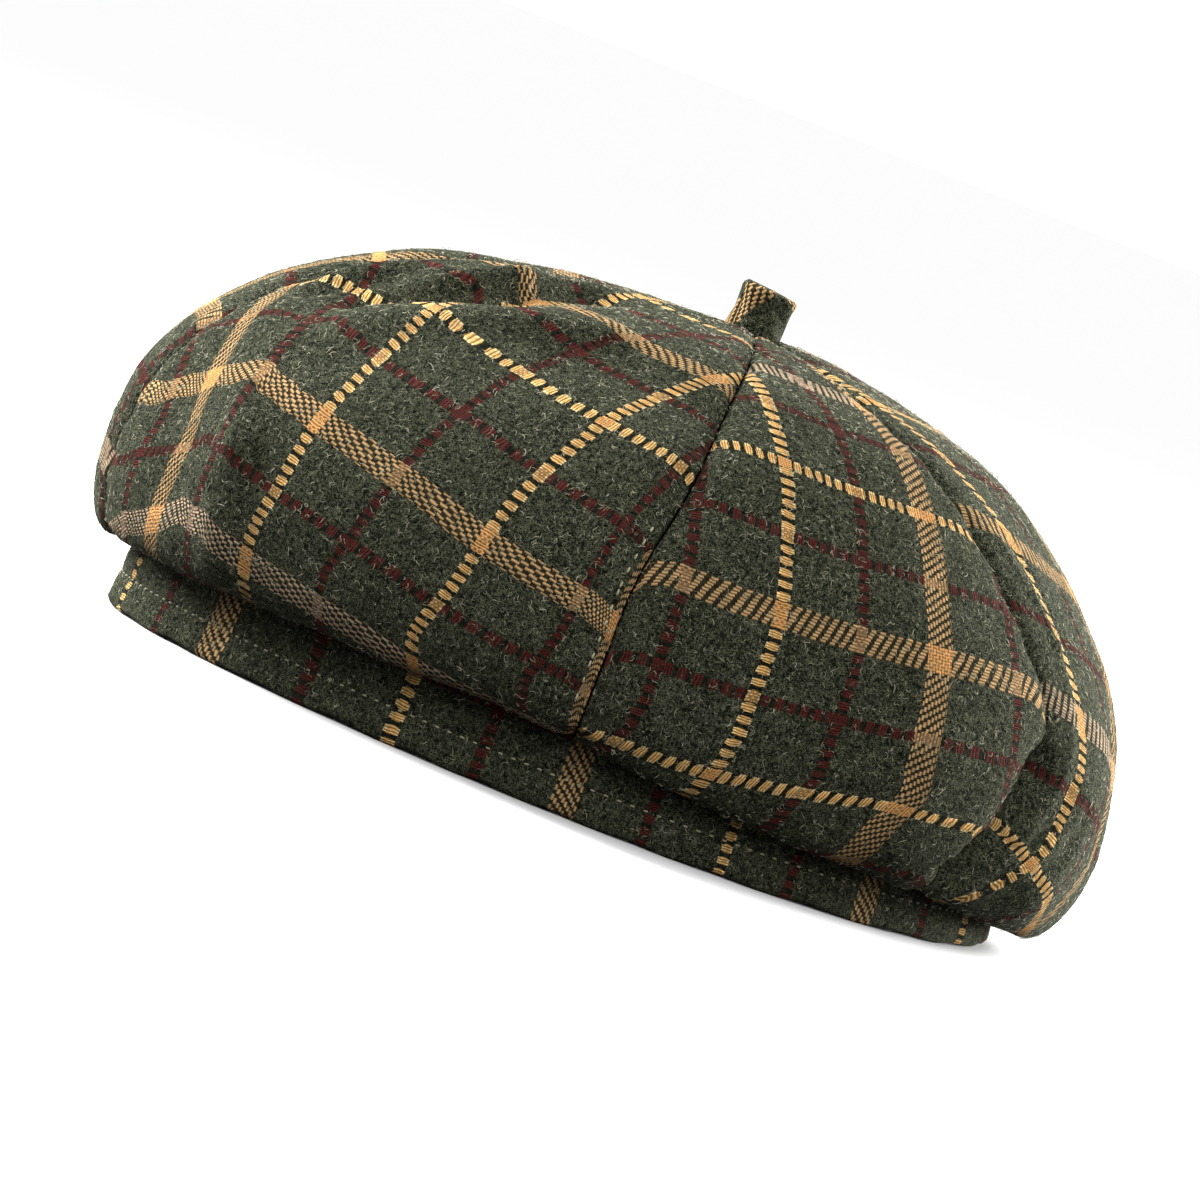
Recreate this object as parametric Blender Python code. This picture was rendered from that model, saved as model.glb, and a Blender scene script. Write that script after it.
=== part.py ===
"""A soft wool cap: six cloth gores rolled under to a headband, with a short stalk.

The cap rests on its headband. X is its long axis, -Y the side seen in the
photograph and Z up, with the origin under the middle of the cap. All lengths
are in metres and all azimuths in degrees, 0 at -Y and 90 at +X.
"""

import bmesh
import bpy
import numpy as np

# Headband
BAND_LENGTH = 0.198
BAND_WIDTH = 0.170
BAND_EGG_SHARE = 0.14
BAND_OFFSET = -0.0010
BAND_HEIGHT = 0.0251
BAND_WALL = 0.0024
BAND_FLARE = 0.0015
BAND_EDGE = 0.0007
BAND_COLUMNS = 84

# Crown
CROWN_TOP = 0.1030
CLOTH = 0.0021
OVERHANG = 0.0160
APEX_OFFSET = 0.0060
SAG = 0.0100
CLOTH_LENGTH = 0.190
SEAM_DEPTH = 0.0011
SEAM_SPREAD = 0.0032
GAP = 0.00035
LAP = 0.0019

# Stalk
STALK_WIDTH = 0.0130
STALK_TOP_WIDTH = 0.0118
STALK_HEIGHT = 0.0104
STALK_EDGE = 0.0016
STALK_COLUMNS = 28

# Share of the cloth's run from stalk to headband that is the open dome
DOME_SHARE = 0.66

# Outline of the rolled edge. Columns: azimuth, share of the overhang, height of
# the widest place as a share of the rise over the headband, share of the sag,
# and how far the dome swells (+) or slims (-) on its way up.
EDGE_SHARES = (
    (-180, 0.98, 0.09, 1.00, 0.000),
    (-150, 1.00, 0.10, 1.00, 0.000),
    (-128, 1.10, 0.11, 1.05, 0.000),
    (-105, 1.00, 0.15, 1.05, 0.000),
    (-90, 0.90, 0.17, 1.05, 0.000),
    (-72, 1.05, 0.16, 1.00, -0.005),
    (-52, 1.22, 0.15, 0.95, -0.005),
    (-38, 1.12, 0.13, 0.90, 0.000),
    (-22, 0.98, 0.11, 0.86, 0.000),
    (0, 0.98, 0.07, 0.90, 0.000),
    (22, 0.87, 0.06, 1.25, 0.000),
    (47, 1.09, 0.05, 1.45, -0.015),
    (66, 1.14, 0.02, 1.75, -0.030),
    (90, 1.05, 0.01, 2.05, -0.035),
    (108, 1.06, 0.02, 1.80, -0.030),
    (128, 0.98, 0.05, 1.40, -0.010),
    (155, 0.94, 0.07, 1.00, 0.000),
    (180, 0.98, 0.09, 1.00, 0.000),
)

# The dome from stalk to widest place. Columns: share of the reach, share of the rise.
DOME_SHARES = (
    (0.000, 1.000),
    (0.150, 0.990),
    (0.280, 0.966),
    (0.420, 0.925),
    (0.520, 0.885),
    (0.600, 0.832),
    (0.710, 0.732),
    (0.780, 0.650),
    (0.835, 0.567),
    (0.888, 0.476),
    (0.925, 0.395),
    (0.958, 0.295),
    (0.985, 0.170),
    (1.000, 0.000),
)

# The roll under to the headband. Columns: share of the overhang, share of the
# height from lowest to widest place, share of the height from lowest to headband.
ROLL_SHARES = (
    (1.000, 1.00, 0.00),
    (0.945, 0.55, 0.00),
    (0.850, 0.29, 0.00),
    (0.690, 0.08, 0.00),
    (0.500, 0.00, 0.00),
    (0.330, 0.00, 0.10),
    (0.190, 0.00, 0.32),
    (0.110, 0.00, 0.60),
    (0.060, 0.00, 0.88),
    (0.022, 0.00, 1.00),
)

# Azimuths of the six seams. Columns: share of the run, then front, right,
# back right, back, back left and left seam.
SEAM_SHARES = (
    (0.00, 6, 40, 106, 168, 226, 282),
    (0.12, 6, 41, 108, 168, 226, 282),
    (0.30, 4, 47, 111, 168, 226, 283),
    (0.45, 3, 54, 112, 168, 226, 284),
    (0.57, 1, 58, 113, 168, 226, 284),
    (0.64, 1, 55, 113, 168, 226, 284),
    (0.71, 1, 51, 113, 168, 226, 283),
    (0.80, 1, 49, 112, 168, 226, 283),
    (1.00, 1, 48, 112, 168, 226, 283),
)

# Folds and dents on the cloth laid flat round the stalk. Columns: the two ends
# as shares of the run (x, y, x, y), then height and spread as shares of the run.
FOLD_SHARES = (
    (-0.350, -0.198, -0.222, -0.206, -0.0210, 0.023),
    (-0.190, -0.185, -0.125, -0.110, -0.0130, 0.022),
    (-0.360, -0.268, -0.130, -0.252, 0.0115, 0.034),
    (-0.350, -0.130, -0.200, -0.128, 0.0105, 0.031),
    (-0.400, -0.095, -0.310, -0.100, -0.0080, 0.020),
    (-0.140, -0.310, 0.000, -0.330, -0.0120, 0.065),
    (-0.430, -0.200, -0.490, -0.390, 0.0105, 0.036),
    (-0.490, -0.390, -0.580, -0.500, 0.0100, 0.034),
    (-0.530, -0.230, -0.600, -0.330, -0.0090, 0.050),
    (0.500, -0.325, 0.575, -0.490, -0.0230, 0.026),
    (0.540, -0.200, 0.640, -0.330, 0.0130, 0.055),
    (0.400, -0.480, 0.470, -0.560, 0.0090, 0.050),
    (0.180, 0.330, 0.330, 0.240, -0.0110, 0.050),
    (-0.240, 0.390, -0.080, 0.430, -0.0100, 0.045),
    (-0.400, 0.260, -0.520, 0.340, 0.0080, 0.045),
    (0.560, 0.130, 0.660, 0.180, -0.0090, 0.045),
    (-0.640, 0.060, -0.560, 0.110, -0.0080, 0.045),
)

GORE_LIST = (
    ("gore_front_left", 5, 0, 16),
    ("gore_front_right", 0, 1, 12),
    ("gore_right", 1, 2, 12),
    ("gore_back_right", 2, 3, 11),
    ("gore_back", 3, 4, 11),
    ("gore_left", 4, 5, 11),
)
DOME_ROWS = 19
CROWDING_SHARE = 0.095
DOME_SLOPE_SHARE = 0.65
ROLL_OUTER_SHARE = 0.7
ROLL_INNER_SHARE = 0.6
CROWN_COLOUR = (0.045, 0.060, 0.040)
BAND_COLOUR = (0.040, 0.052, 0.036)
STALK_COLOUR = (0.050, 0.058, 0.036)


def curve(x, xs, ys):
    """Smooth curve through the rows of a table."""
    xs = np.asarray(xs, float)
    ys = np.asarray(ys, float)
    step = np.diff(xs)
    slope = np.diff(ys) / step
    tangent = np.empty_like(ys)
    tangent[1:-1] = (slope[:-1] * step[1:] + slope[1:] * step[:-1]) / (step[1:] + step[:-1])
    tangent[0] = slope[0]
    tangent[-1] = slope[-1]
    i = np.clip(np.searchsorted(xs, x, side="right") - 1, 0, len(step) - 1)
    h = step[i]
    t = (x - xs[i]) / h
    a = 2 * t**3 - 3 * t**2 + 1
    b = t**3 - 2 * t**2 + t
    c = t**3 - t**2
    return a * ys[i] + b * h * tangent[i] + (1 - a) * ys[i + 1] + c * h * tangent[i + 1]


def edge(azimuth, column):
    """One column of EDGE_SHARES, read at any azimuth."""
    rows = np.array(EDGE_SHARES, float)
    turn = (np.asarray(azimuth, float) + 180) % 360 - 180
    xs = np.concatenate([[rows[-2, 0] - 360], rows[:, 0], [rows[1, 0] + 360]])
    ys = np.concatenate([[rows[-2, column]], rows[:, column], [rows[1, column]]])
    return curve(turn, xs, ys)


def band_reach(azimuth):
    """Distance from the axis to the headband's outer face at its top."""
    t = np.linspace(-np.pi, np.pi, 1441)
    x = BAND_LENGTH / 2 * np.sin(t) + BAND_OFFSET
    y = BAND_WIDTH / 2 * np.cos(t) * (1 + BAND_EGG_SHARE * np.sin(t))
    turn = np.arctan2(x, y)
    order = np.argsort(turn)
    a = np.radians(azimuth)
    return np.interp(
        np.arctan2(np.sin(a), np.cos(a)), turn[order], np.hypot(x, y)[order], period=2 * np.pi
    )


def table_walk(columns, sizes):
    """Shares of the way along a table whose columns are lengths."""
    steps = np.hypot(np.diff(columns[0]) * sizes[0], np.diff(columns[1]) * sizes[1])
    walk = np.concatenate([[0], np.cumsum(steps)])
    return walk / walk[-1]


def roll_walk():
    rows = np.array(ROLL_SHARES, float).T
    rise = rows[1] * ROLL_OUTER_SHARE - rows[2] * ROLL_INNER_SHARE
    return table_walk((rows[0], rise), (1.0, 1.0))


def dome_walk():
    rows = np.array(DOME_SHARES, float).T
    return table_walk(rows, (1.0, DOME_SLOPE_SHARE))


def hole_radius():
    return STALK_WIDTH / 2 + GAP


def plain_point(azimuth, share):
    """Point of the crown's outer face before seams and folds."""
    azimuth, share = np.broadcast_arrays(np.asarray(azimuth, float), np.asarray(share, float))
    band = band_reach(azimuth)
    wide = band + OVERHANG * edge(azimuth, 1)
    wide_z = BAND_HEIGHT + (CROWN_TOP - BAND_HEIGHT) * edge(azimuth, 2)
    low_z = BAND_HEIGHT - SAG * edge(azimuth, 3)
    join_z = BAND_HEIGHT + GAP
    dome = np.array(DOME_SHARES, float).T
    walk = dome_walk()
    at = np.clip(share / DOME_SHARE, 0, 1)
    reach = curve(at, walk, dome[0])
    reach = reach + 4 * edge(azimuth, 4) * reach * (1 - reach)
    dome_r = hole_radius() + (wide - hole_radius()) * reach
    dome_z = wide_z + (CROWN_TOP - wide_z) * curve(at, walk, dome[1])
    roll = np.array(ROLL_SHARES, float).T
    walk = roll_walk()
    at = np.clip((share - DOME_SHARE) / (1 - DOME_SHARE), 0, 1)
    roll_r = band + (wide - band) * curve(at, walk, roll[0])
    roll_z = low_z + (wide_z - low_z) * curve(at, walk, roll[1])
    roll_z = roll_z + (join_z - low_z) * curve(at, walk, roll[2])
    on_dome = share < DOME_SHARE
    radius = np.where(on_dome, dome_r, roll_r)
    height = np.where(on_dome, dome_z, roll_z)
    shift = np.where(on_dome, APEX_OFFSET * (1 - reach), 0.0)
    a = np.radians(azimuth)
    return np.stack([shift + radius * np.sin(a), -radius * np.cos(a), height], axis=-1)


def seam_azimuth(number, share):
    rows = np.array(SEAM_SHARES, float).T
    return curve(share, rows[0], rows[1 + number])


def relief(azimuth, share):
    """Height of folds over the plain crown, with the valleys along the seams."""
    a = np.radians(azimuth)
    x = share * np.sin(a)
    y = -share * np.cos(a)
    height = np.zeros_like(x)
    for ax, ay, bx, by, rise, spread in FOLD_SHARES:
        dx, dy = bx - ax, by - ay
        t = np.clip(((x - ax) * dx + (y - ay) * dy) / (dx * dx + dy * dy), 0, 1)
        away = np.hypot(x - ax - t * dx, y - ay - t * dy)
        height = height + CLOTH_LENGTH * rise * np.exp(-((away / spread) ** 2))
    base = plain_point(azimuth, share)
    radius = np.hypot(base[..., 0], base[..., 1])
    for number in range(len(GORE_LIST)):
        turn = (azimuth - seam_azimuth(number, share) + 180) % 360 - 180
        away = np.radians(np.abs(turn)) * radius
        deep = SEAM_DEPTH * np.clip(radius / (BAND_WIDTH / 4), 0, 1)
        height = height - deep * np.exp(-((away / SEAM_SPREAD) ** 2))
    return height * np.clip((1 - share) / 0.08, 0, 1)


def facing(place, azimuth, share):
    """Outward normal of a surface function."""
    da, ds = 0.15, 0.002
    across = place(azimuth + da, share) - place(azimuth - da, share)
    along = place(azimuth, np.clip(share + ds, 0, 1)) - place(azimuth, np.clip(share - ds, 0, 1))
    normal = np.cross(along, across)
    return normal / np.linalg.norm(normal, axis=-1, keepdims=True)


def outer_point(azimuth, share):
    base = plain_point(azimuth, share)
    return base + facing(plain_point, azimuth, share) * relief(azimuth, share)[..., None]


def inner_point(azimuth, share):
    return outer_point(azimuth, share) - CLOTH * facing(outer_point, azimuth, share)


def shell_faces(rows, columns):
    """Faces of a closed slab: outer grid, inner grid and the rim between them."""
    def outer(j, i):
        return j * columns + i

    def inner(j, i):
        return rows * columns + j * columns + i

    faces = []
    for j in range(rows - 1):
        for i in range(columns - 1):
            faces.append((outer(j, i), outer(j + 1, i), outer(j + 1, i + 1), outer(j, i + 1)))
            faces.append((inner(j, i), inner(j, i + 1), inner(j + 1, i + 1), inner(j + 1, i)))
        last = columns - 1
        faces.append((outer(j, 0), inner(j, 0), inner(j + 1, 0), outer(j + 1, 0)))
        faces.append((outer(j, last), outer(j + 1, last), inner(j + 1, last), inner(j, last)))
    for i in range(columns - 1):
        last = rows - 1
        faces.append((outer(0, i), outer(0, i + 1), inner(0, i + 1), inner(0, i)))
        faces.append((outer(last, i), inner(last, i), inner(last, i + 1), outer(last, i + 1)))
    return faces


def add_solid(name, points, faces, colour, roughness):
    """Make one named mesh object, in triangles, facing outward."""
    mesh = bpy.data.meshes.new(name)
    mesh.from_pydata([tuple(p) for p in points], [], faces)
    work = bmesh.new()
    work.from_mesh(mesh)
    bmesh.ops.recalc_face_normals(work, faces=work.faces)
    bmesh.ops.triangulate(work, faces=work.faces)
    work.to_mesh(mesh)
    work.free()
    mesh.update()
    thing = bpy.data.objects.new(name, mesh)
    bpy.context.scene.collection.objects.link(thing)
    material = bpy.data.materials.new(name + "_cloth")
    material.use_nodes = True
    shader = material.node_tree.nodes["Principled BSDF"]
    shader.inputs["Base Color"].default_value = (*colour, 1.0)
    shader.inputs["Roughness"].default_value = roughness
    shader.inputs["Metallic"].default_value = 0.0
    mesh.materials.append(material)
    return thing


def add_gore(name, left, right, columns):
    """One crown panel between two seams."""
    dome = np.linspace(0, DOME_SHARE, DOME_ROWS)
    roll = DOME_SHARE + (1 - DOME_SHARE) * roll_walk()[1:]
    shares = np.concatenate([dome, roll])
    spread = np.linspace(0, 1, columns)
    spread = spread - CROWDING_SHARE * np.sin(2 * np.pi * spread)
    share = np.repeat(shares[:, None], columns, axis=1)
    start = seam_azimuth(left, share)
    end = seam_azimuth(right, share)
    start = np.where(start > end, start - 360, start)
    middle = plain_point((start + end) / 2, share)
    radius = np.hypot(middle[..., 0], middle[..., 1])
    radius = np.maximum(radius * 0.9, hole_radius())
    radius[0] = hole_radius()
    trim = np.degrees(GAP / 2 / radius)
    azimuth = start + trim + (end - start - 2 * trim) * spread[None, :]
    outer = outer_point(azimuth, share)
    inner = inner_point(azimuth, share)
    outer = np.concatenate([outer, lap_row(outer[-1])[None]])
    inner = np.concatenate([inner, lap_row(inner[-1])[None]])
    points = np.concatenate([outer.reshape(-1, 3), inner.reshape(-1, 3)])
    return add_solid(name, points, shell_faces(len(shares) + 1, columns), CROWN_COLOUR, 0.95)


def lap_row(row):
    """The cloth's last row, level over the top of the headband."""
    radius = np.hypot(row[:, 0], row[:, 1])
    shrink = (radius - LAP) / radius
    level = row.copy()
    level[:, 0] *= shrink
    level[:, 1] *= shrink
    return level


def add_headband():
    """The ring of cloth that the cap rests on."""
    azimuth = np.linspace(0, 360, BAND_COLUMNS, endpoint=False)
    a = np.radians(azimuth)
    reach = band_reach(azimuth)
    rows = []
    heights = (0, BAND_EDGE, BAND_HEIGHT * 0.25, BAND_HEIGHT * 0.5, BAND_HEIGHT * 0.75)
    inset = (BAND_EDGE, 0, 0, 0, 0)
    for height, back in zip(heights, inset):
        flare = BAND_FLARE * (1 - height / BAND_HEIGHT) ** 1.5
        rows.append((reach + flare - back, height))
    rows.append((reach, BAND_HEIGHT))
    rows.append((reach - BAND_WALL, BAND_HEIGHT))
    for height, back in zip(reversed(heights), reversed(inset)):
        flare = BAND_FLARE * (1 - height / BAND_HEIGHT) ** 1.5
        rows.append((reach + flare - BAND_WALL + back, height))
    points = []
    for radius, height in rows:
        for r, t in zip(radius, a):
            points.append((r * np.sin(t), -r * np.cos(t), height))
    faces = []
    for j in range(len(rows)):
        for i in range(BAND_COLUMNS):
            k = (i + 1) % BAND_COLUMNS
            m = (j + 1) % len(rows)
            faces.append(
                (
                    j * BAND_COLUMNS + i,
                    j * BAND_COLUMNS + k,
                    m * BAND_COLUMNS + k,
                    m * BAND_COLUMNS + i,
                )
            )
    return add_solid("headband", points, faces, BAND_COLOUR, 0.95)


def add_stalk():
    """The stub that stands in the hole where the gores meet."""
    low = CROWN_TOP - CLOTH
    top = CROWN_TOP + STALK_HEIGHT
    base = STALK_WIDTH / 2
    head = STALK_TOP_WIDTH / 2
    rows = (
        (base - STALK_EDGE / 2, low),
        (base, low + STALK_EDGE / 2),
        (base, CROWN_TOP + STALK_EDGE / 2),
        ((base + head) / 2, (CROWN_TOP + top) / 2),
        (head, top - STALK_EDGE),
        (head - STALK_EDGE * 0.3, top - STALK_EDGE * 0.3),
        (head - STALK_EDGE, top),
    )
    turns = np.linspace(0, 2 * np.pi, STALK_COLUMNS, endpoint=False)
    points = []
    for radius, height in rows:
        for t in turns:
            points.append((APEX_OFFSET + radius * np.sin(t), -radius * np.cos(t), height))
    faces = []
    for j in range(len(rows) - 1):
        for i in range(STALK_COLUMNS):
            k = (i + 1) % STALK_COLUMNS
            a, b = j * STALK_COLUMNS, (j + 1) * STALK_COLUMNS
            faces.append((a + i, a + k, b + k, b + i))
    last = (len(rows) - 1) * STALK_COLUMNS
    faces.append(tuple(range(STALK_COLUMNS)))
    faces.append(tuple(last + i for i in range(STALK_COLUMNS)))
    return add_solid("stalk", points, faces, STALK_COLOUR, 0.95)


for old in list(bpy.data.objects):
    bpy.data.objects.remove(old, do_unlink=True)

for gore_name, left_seam, right_seam, column_count in GORE_LIST:
    add_gore(gore_name, left_seam, right_seam, column_count)
add_headband()
add_stalk()
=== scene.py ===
# %% [markdown]
# # A soft check cap in fulled wool
# The real thing is a tam: six panels of checked woollen cloth, called gores, sewn
# edge to edge and rolled under to a narrow headband, with a short cloth stalk on top.
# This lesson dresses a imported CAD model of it. The CAD gives the sizes and the main
# shape.

# %% The frame and its box
import math

import bmesh
import bpy
import numpy as np
from mathutils import Matrix, Vector


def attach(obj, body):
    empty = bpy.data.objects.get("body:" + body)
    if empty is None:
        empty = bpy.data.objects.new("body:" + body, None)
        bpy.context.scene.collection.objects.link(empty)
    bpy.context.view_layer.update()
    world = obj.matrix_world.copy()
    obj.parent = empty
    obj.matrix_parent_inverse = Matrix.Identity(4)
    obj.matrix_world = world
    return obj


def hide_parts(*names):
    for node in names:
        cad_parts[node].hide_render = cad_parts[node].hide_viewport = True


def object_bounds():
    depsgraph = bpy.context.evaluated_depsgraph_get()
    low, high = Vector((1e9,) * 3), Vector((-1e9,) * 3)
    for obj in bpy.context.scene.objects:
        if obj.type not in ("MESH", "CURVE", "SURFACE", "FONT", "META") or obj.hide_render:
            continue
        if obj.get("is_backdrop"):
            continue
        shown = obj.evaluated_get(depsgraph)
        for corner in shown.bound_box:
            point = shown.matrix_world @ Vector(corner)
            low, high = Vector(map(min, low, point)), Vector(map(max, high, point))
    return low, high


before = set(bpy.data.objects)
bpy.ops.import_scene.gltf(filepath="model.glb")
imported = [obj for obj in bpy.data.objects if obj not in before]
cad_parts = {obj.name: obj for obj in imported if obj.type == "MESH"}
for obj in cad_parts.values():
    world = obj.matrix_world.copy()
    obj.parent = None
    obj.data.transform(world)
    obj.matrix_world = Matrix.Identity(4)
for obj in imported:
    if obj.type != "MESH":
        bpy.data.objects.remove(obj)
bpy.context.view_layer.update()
MM = 0.001
print("nodes", sorted(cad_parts))

# %% [markdown]
# # The camera
# The photograph was taken from far off with a long lens, almost level with the rim,
# and the picture was turned so that the cap seems to lean. The cap itself sits flat
# on its headband. So the camera stands a little above the floor and is rolled round
# its own line of sight, which turns the picture and leaves the cap at rest.

# %% Camera
VIEW_DISTANCE = 1800 * MM
VIEW_ELEVATION = math.radians(4.0)
VIEW_ROLL = math.radians(21.4)
VIEW_AIM = Vector((-3.4 * MM, 0, 38.0 * MM))
VIEW_WIDTH = 255.3 * MM
SENSOR = 36.0

sight = Vector((0, math.cos(VIEW_ELEVATION), -math.sin(VIEW_ELEVATION)))
level_up = Vector((0, math.sin(VIEW_ELEVATION), math.cos(VIEW_ELEVATION)))
level_right = Vector((1, 0, 0))
camera_right = math.cos(VIEW_ROLL) * level_right + math.sin(VIEW_ROLL) * level_up
camera_up = -math.sin(VIEW_ROLL) * level_right + math.cos(VIEW_ROLL) * level_up
camera = bpy.data.objects.new("camera", bpy.data.cameras.new("camera"))
bpy.context.scene.collection.objects.link(camera)
bpy.context.scene.camera = camera
camera.data.sensor_width = SENSOR
camera.data.lens = SENSOR * VIEW_DISTANCE / VIEW_WIDTH
camera.data.clip_end = 20
turned = Matrix((camera_right, camera_up, -sight)).transposed().to_4x4()
camera.matrix_world = Matrix.Translation(VIEW_AIM - sight * VIEW_DISTANCE) @ turned
print("lens in mm", round(camera.data.lens, 1))

# %% [markdown]
# # The shape of the crown
# A rolled crown is a smooth surface over two numbers: the azimuth round the head, and
# the share of the way along the cloth from the stalk, over the edge and back under to
# the headband. A few short tables say how far the edge hangs out, where it is widest
# and where folds lie. The same tables make the CAD, so the finer skin here falls
# exactly on it.

# %% Sizes and tables of the crown
BAND_LENGTH, BAND_WIDTH, BAND_EGG_SHARE, BAND_OFFSET = 0.198, 0.170, 0.14, -0.0010
BAND_HEIGHT, BAND_WALL, BAND_FLARE = 0.0251, 0.0024, 0.0015
CROWN_TOP, CLOTH, OVERHANG, APEX_OFFSET = 0.1030, 0.0021, 0.0160, 0.0060
SAG, CLOTH_LENGTH, GAP, LAP = 0.0100, 0.190, 0.00035, 0.0019
SEAM_DEPTH, SEAM_SPREAD = 0.0011, 0.0032
STALK_WIDTH, STALK_TOP_WIDTH, STALK_HEIGHT = 0.0130, 0.0118, 0.0104
DOME_SHARE, DOME_SLOPE_SHARE = 0.66, 0.65
ROLL_OUTER_SHARE, ROLL_INNER_SHARE = 0.7, 0.6

# Azimuth, share of the overhang, height of the widest place, sag, fullness.
EDGE_SHARES = (
    (-180, 0.98, 0.09, 1.00, 0.000), (-150, 1.00, 0.10, 1.00, 0.000),
    (-128, 1.10, 0.11, 1.05, 0.000), (-105, 1.00, 0.15, 1.05, 0.000),
    (-90, 0.90, 0.17, 1.05, 0.000), (-72, 1.05, 0.16, 1.00, -0.005),
    (-52, 1.22, 0.15, 0.95, -0.005), (-38, 1.12, 0.13, 0.90, 0.000),
    (-22, 0.98, 0.11, 0.86, 0.000), (0, 0.98, 0.07, 0.90, 0.000),
    (22, 0.87, 0.06, 1.25, 0.000), (47, 1.09, 0.05, 1.45, -0.015),
    (66, 1.14, 0.02, 1.75, -0.030), (90, 1.05, 0.01, 2.05, -0.035),
    (108, 1.06, 0.02, 1.80, -0.030), (128, 0.98, 0.05, 1.40, -0.010),
    (155, 0.94, 0.07, 1.00, 0.000), (180, 0.98, 0.09, 1.00, 0.000),
)

# From stalk to widest place: share of the reach, share of the rise.
DOME_SHARES = (
    (0.000, 1.000), (0.150, 0.990), (0.280, 0.966), (0.420, 0.925), (0.520, 0.885),
    (0.600, 0.832), (0.710, 0.732), (0.780, 0.650), (0.835, 0.567), (0.888, 0.476),
    (0.925, 0.395), (0.958, 0.295), (0.985, 0.170), (1.000, 0.000),
)

# The roll under: share of the overhang, height below the widest place, and height
# from the lowest place to the headband.
ROLL_SHARES = (
    (1.000, 1.00, 0.00), (0.945, 0.55, 0.00), (0.850, 0.29, 0.00), (0.690, 0.08, 0.00),
    (0.500, 0.00, 0.00), (0.330, 0.00, 0.10), (0.190, 0.00, 0.32), (0.110, 0.00, 0.60),
    (0.060, 0.00, 0.88), (0.022, 0.00, 1.00),
)

# Share of the run, then the azimuths of the six seams.
SEAM_SHARES = (
    (0.00, 6, 40, 106, 168, 226, 282), (0.12, 6, 41, 108, 168, 226, 282),
    (0.30, 4, 47, 111, 168, 226, 283), (0.45, 3, 54, 112, 168, 226, 284),
    (0.57, 1, 58, 113, 168, 226, 284), (0.64, 1, 55, 113, 168, 226, 284),
    (0.71, 1, 51, 113, 168, 226, 283), (0.80, 1, 49, 112, 168, 226, 283),
    (1.00, 1, 48, 112, 168, 226, 283),
)

# Folds in the cloth laid flat round the stalk: two ends, height and spread.
FOLD_SHARES = (
    (-0.350, -0.198, -0.222, -0.206, -0.0210, 0.023),
    (-0.190, -0.185, -0.125, -0.110, -0.0130, 0.022),
    (-0.360, -0.268, -0.130, -0.252, 0.0115, 0.034),
    (-0.350, -0.130, -0.200, -0.128, 0.0105, 0.031),
    (-0.400, -0.095, -0.310, -0.100, -0.0080, 0.020),
    (-0.140, -0.310, 0.000, -0.330, -0.0120, 0.065),
    (-0.430, -0.200, -0.490, -0.390, 0.0105, 0.036),
    (-0.490, -0.390, -0.580, -0.500, 0.0100, 0.034),
    (-0.530, -0.230, -0.600, -0.330, -0.0090, 0.050),
    (0.500, -0.325, 0.575, -0.490, -0.0230, 0.026),
    (0.540, -0.200, 0.640, -0.330, 0.0130, 0.055),
    (0.400, -0.480, 0.470, -0.560, 0.0090, 0.050),
    (0.180, 0.330, 0.330, 0.240, -0.0110, 0.050),
    (-0.240, 0.390, -0.080, 0.430, -0.0100, 0.045),
    (-0.400, 0.260, -0.520, 0.340, 0.0080, 0.045),
    (0.560, 0.130, 0.660, 0.180, -0.0090, 0.045),
    (-0.640, 0.060, -0.560, 0.110, -0.0080, 0.045),
)
SEAM_COUNT = 6
print("folds in the CAD", len(FOLD_SHARES))


# %% Curves through the tables
def curve(x, xs, ys):
    """Smooth curve through the rows of a table."""
    xs, ys = np.asarray(xs, float), np.asarray(ys, float)
    step = np.diff(xs)
    slope = np.diff(ys) / step
    tangent = np.empty_like(ys)
    tangent[1:-1] = (slope[:-1] * step[1:] + slope[1:] * step[:-1]) / (step[1:] + step[:-1])
    tangent[0], tangent[-1] = slope[0], slope[-1]
    i = np.clip(np.searchsorted(xs, x, side="right") - 1, 0, len(step) - 1)
    h = step[i]
    t = (x - xs[i]) / h
    a = 2 * t**3 - 3 * t**2 + 1
    b = t**3 - 2 * t**2 + t
    c = t**3 - t**2
    return a * ys[i] + b * h * tangent[i] + (1 - a) * ys[i + 1] + c * h * tangent[i + 1]


def edge(azimuth, column):
    """One column of EDGE_SHARES, read at any azimuth."""
    rows = np.array(EDGE_SHARES, float)
    turn = (np.asarray(azimuth, float) + 180) % 360 - 180
    xs = np.concatenate([[rows[-2, 0] - 360], rows[:, 0], [rows[1, 0] + 360]])
    ys = np.concatenate([[rows[-2, column]], rows[:, column], [rows[1, column]]])
    return curve(turn, xs, ys)


def band_reach(azimuth):
    """Distance from the axis to the headband's outer face at its top."""
    t = np.linspace(-np.pi, np.pi, 1441)
    x = BAND_LENGTH / 2 * np.sin(t) + BAND_OFFSET
    y = BAND_WIDTH / 2 * np.cos(t) * (1 + BAND_EGG_SHARE * np.sin(t))
    turn = np.arctan2(x, y)
    order = np.argsort(turn)
    a = np.radians(azimuth)
    here = np.arctan2(np.sin(a), np.cos(a))
    return np.interp(here, turn[order], np.hypot(x, y)[order], period=2 * np.pi)


def around(azimuth, reach, height, shift=0.0):
    """Points at a distance and height round the axis, which a shift moves along X."""
    a = np.radians(azimuth)
    height = np.broadcast_to(height, np.shape(reach))
    return np.stack([shift + reach * np.sin(a), -reach * np.cos(a), height], axis=-1)


def walk_along(across, up):
    """Shares of the way along a table's profile."""
    walk = np.concatenate([[0], np.cumsum(np.hypot(np.diff(across), np.diff(up)))])
    return walk / walk[-1]


dome = np.array(DOME_SHARES, float).T
roll = np.array(ROLL_SHARES, float).T
dome_walk = walk_along(dome[0], dome[1] * DOME_SLOPE_SHARE)
roll_walk = walk_along(roll[0], roll[1] * ROLL_OUTER_SHARE - roll[2] * ROLL_INNER_SHARE)


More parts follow.
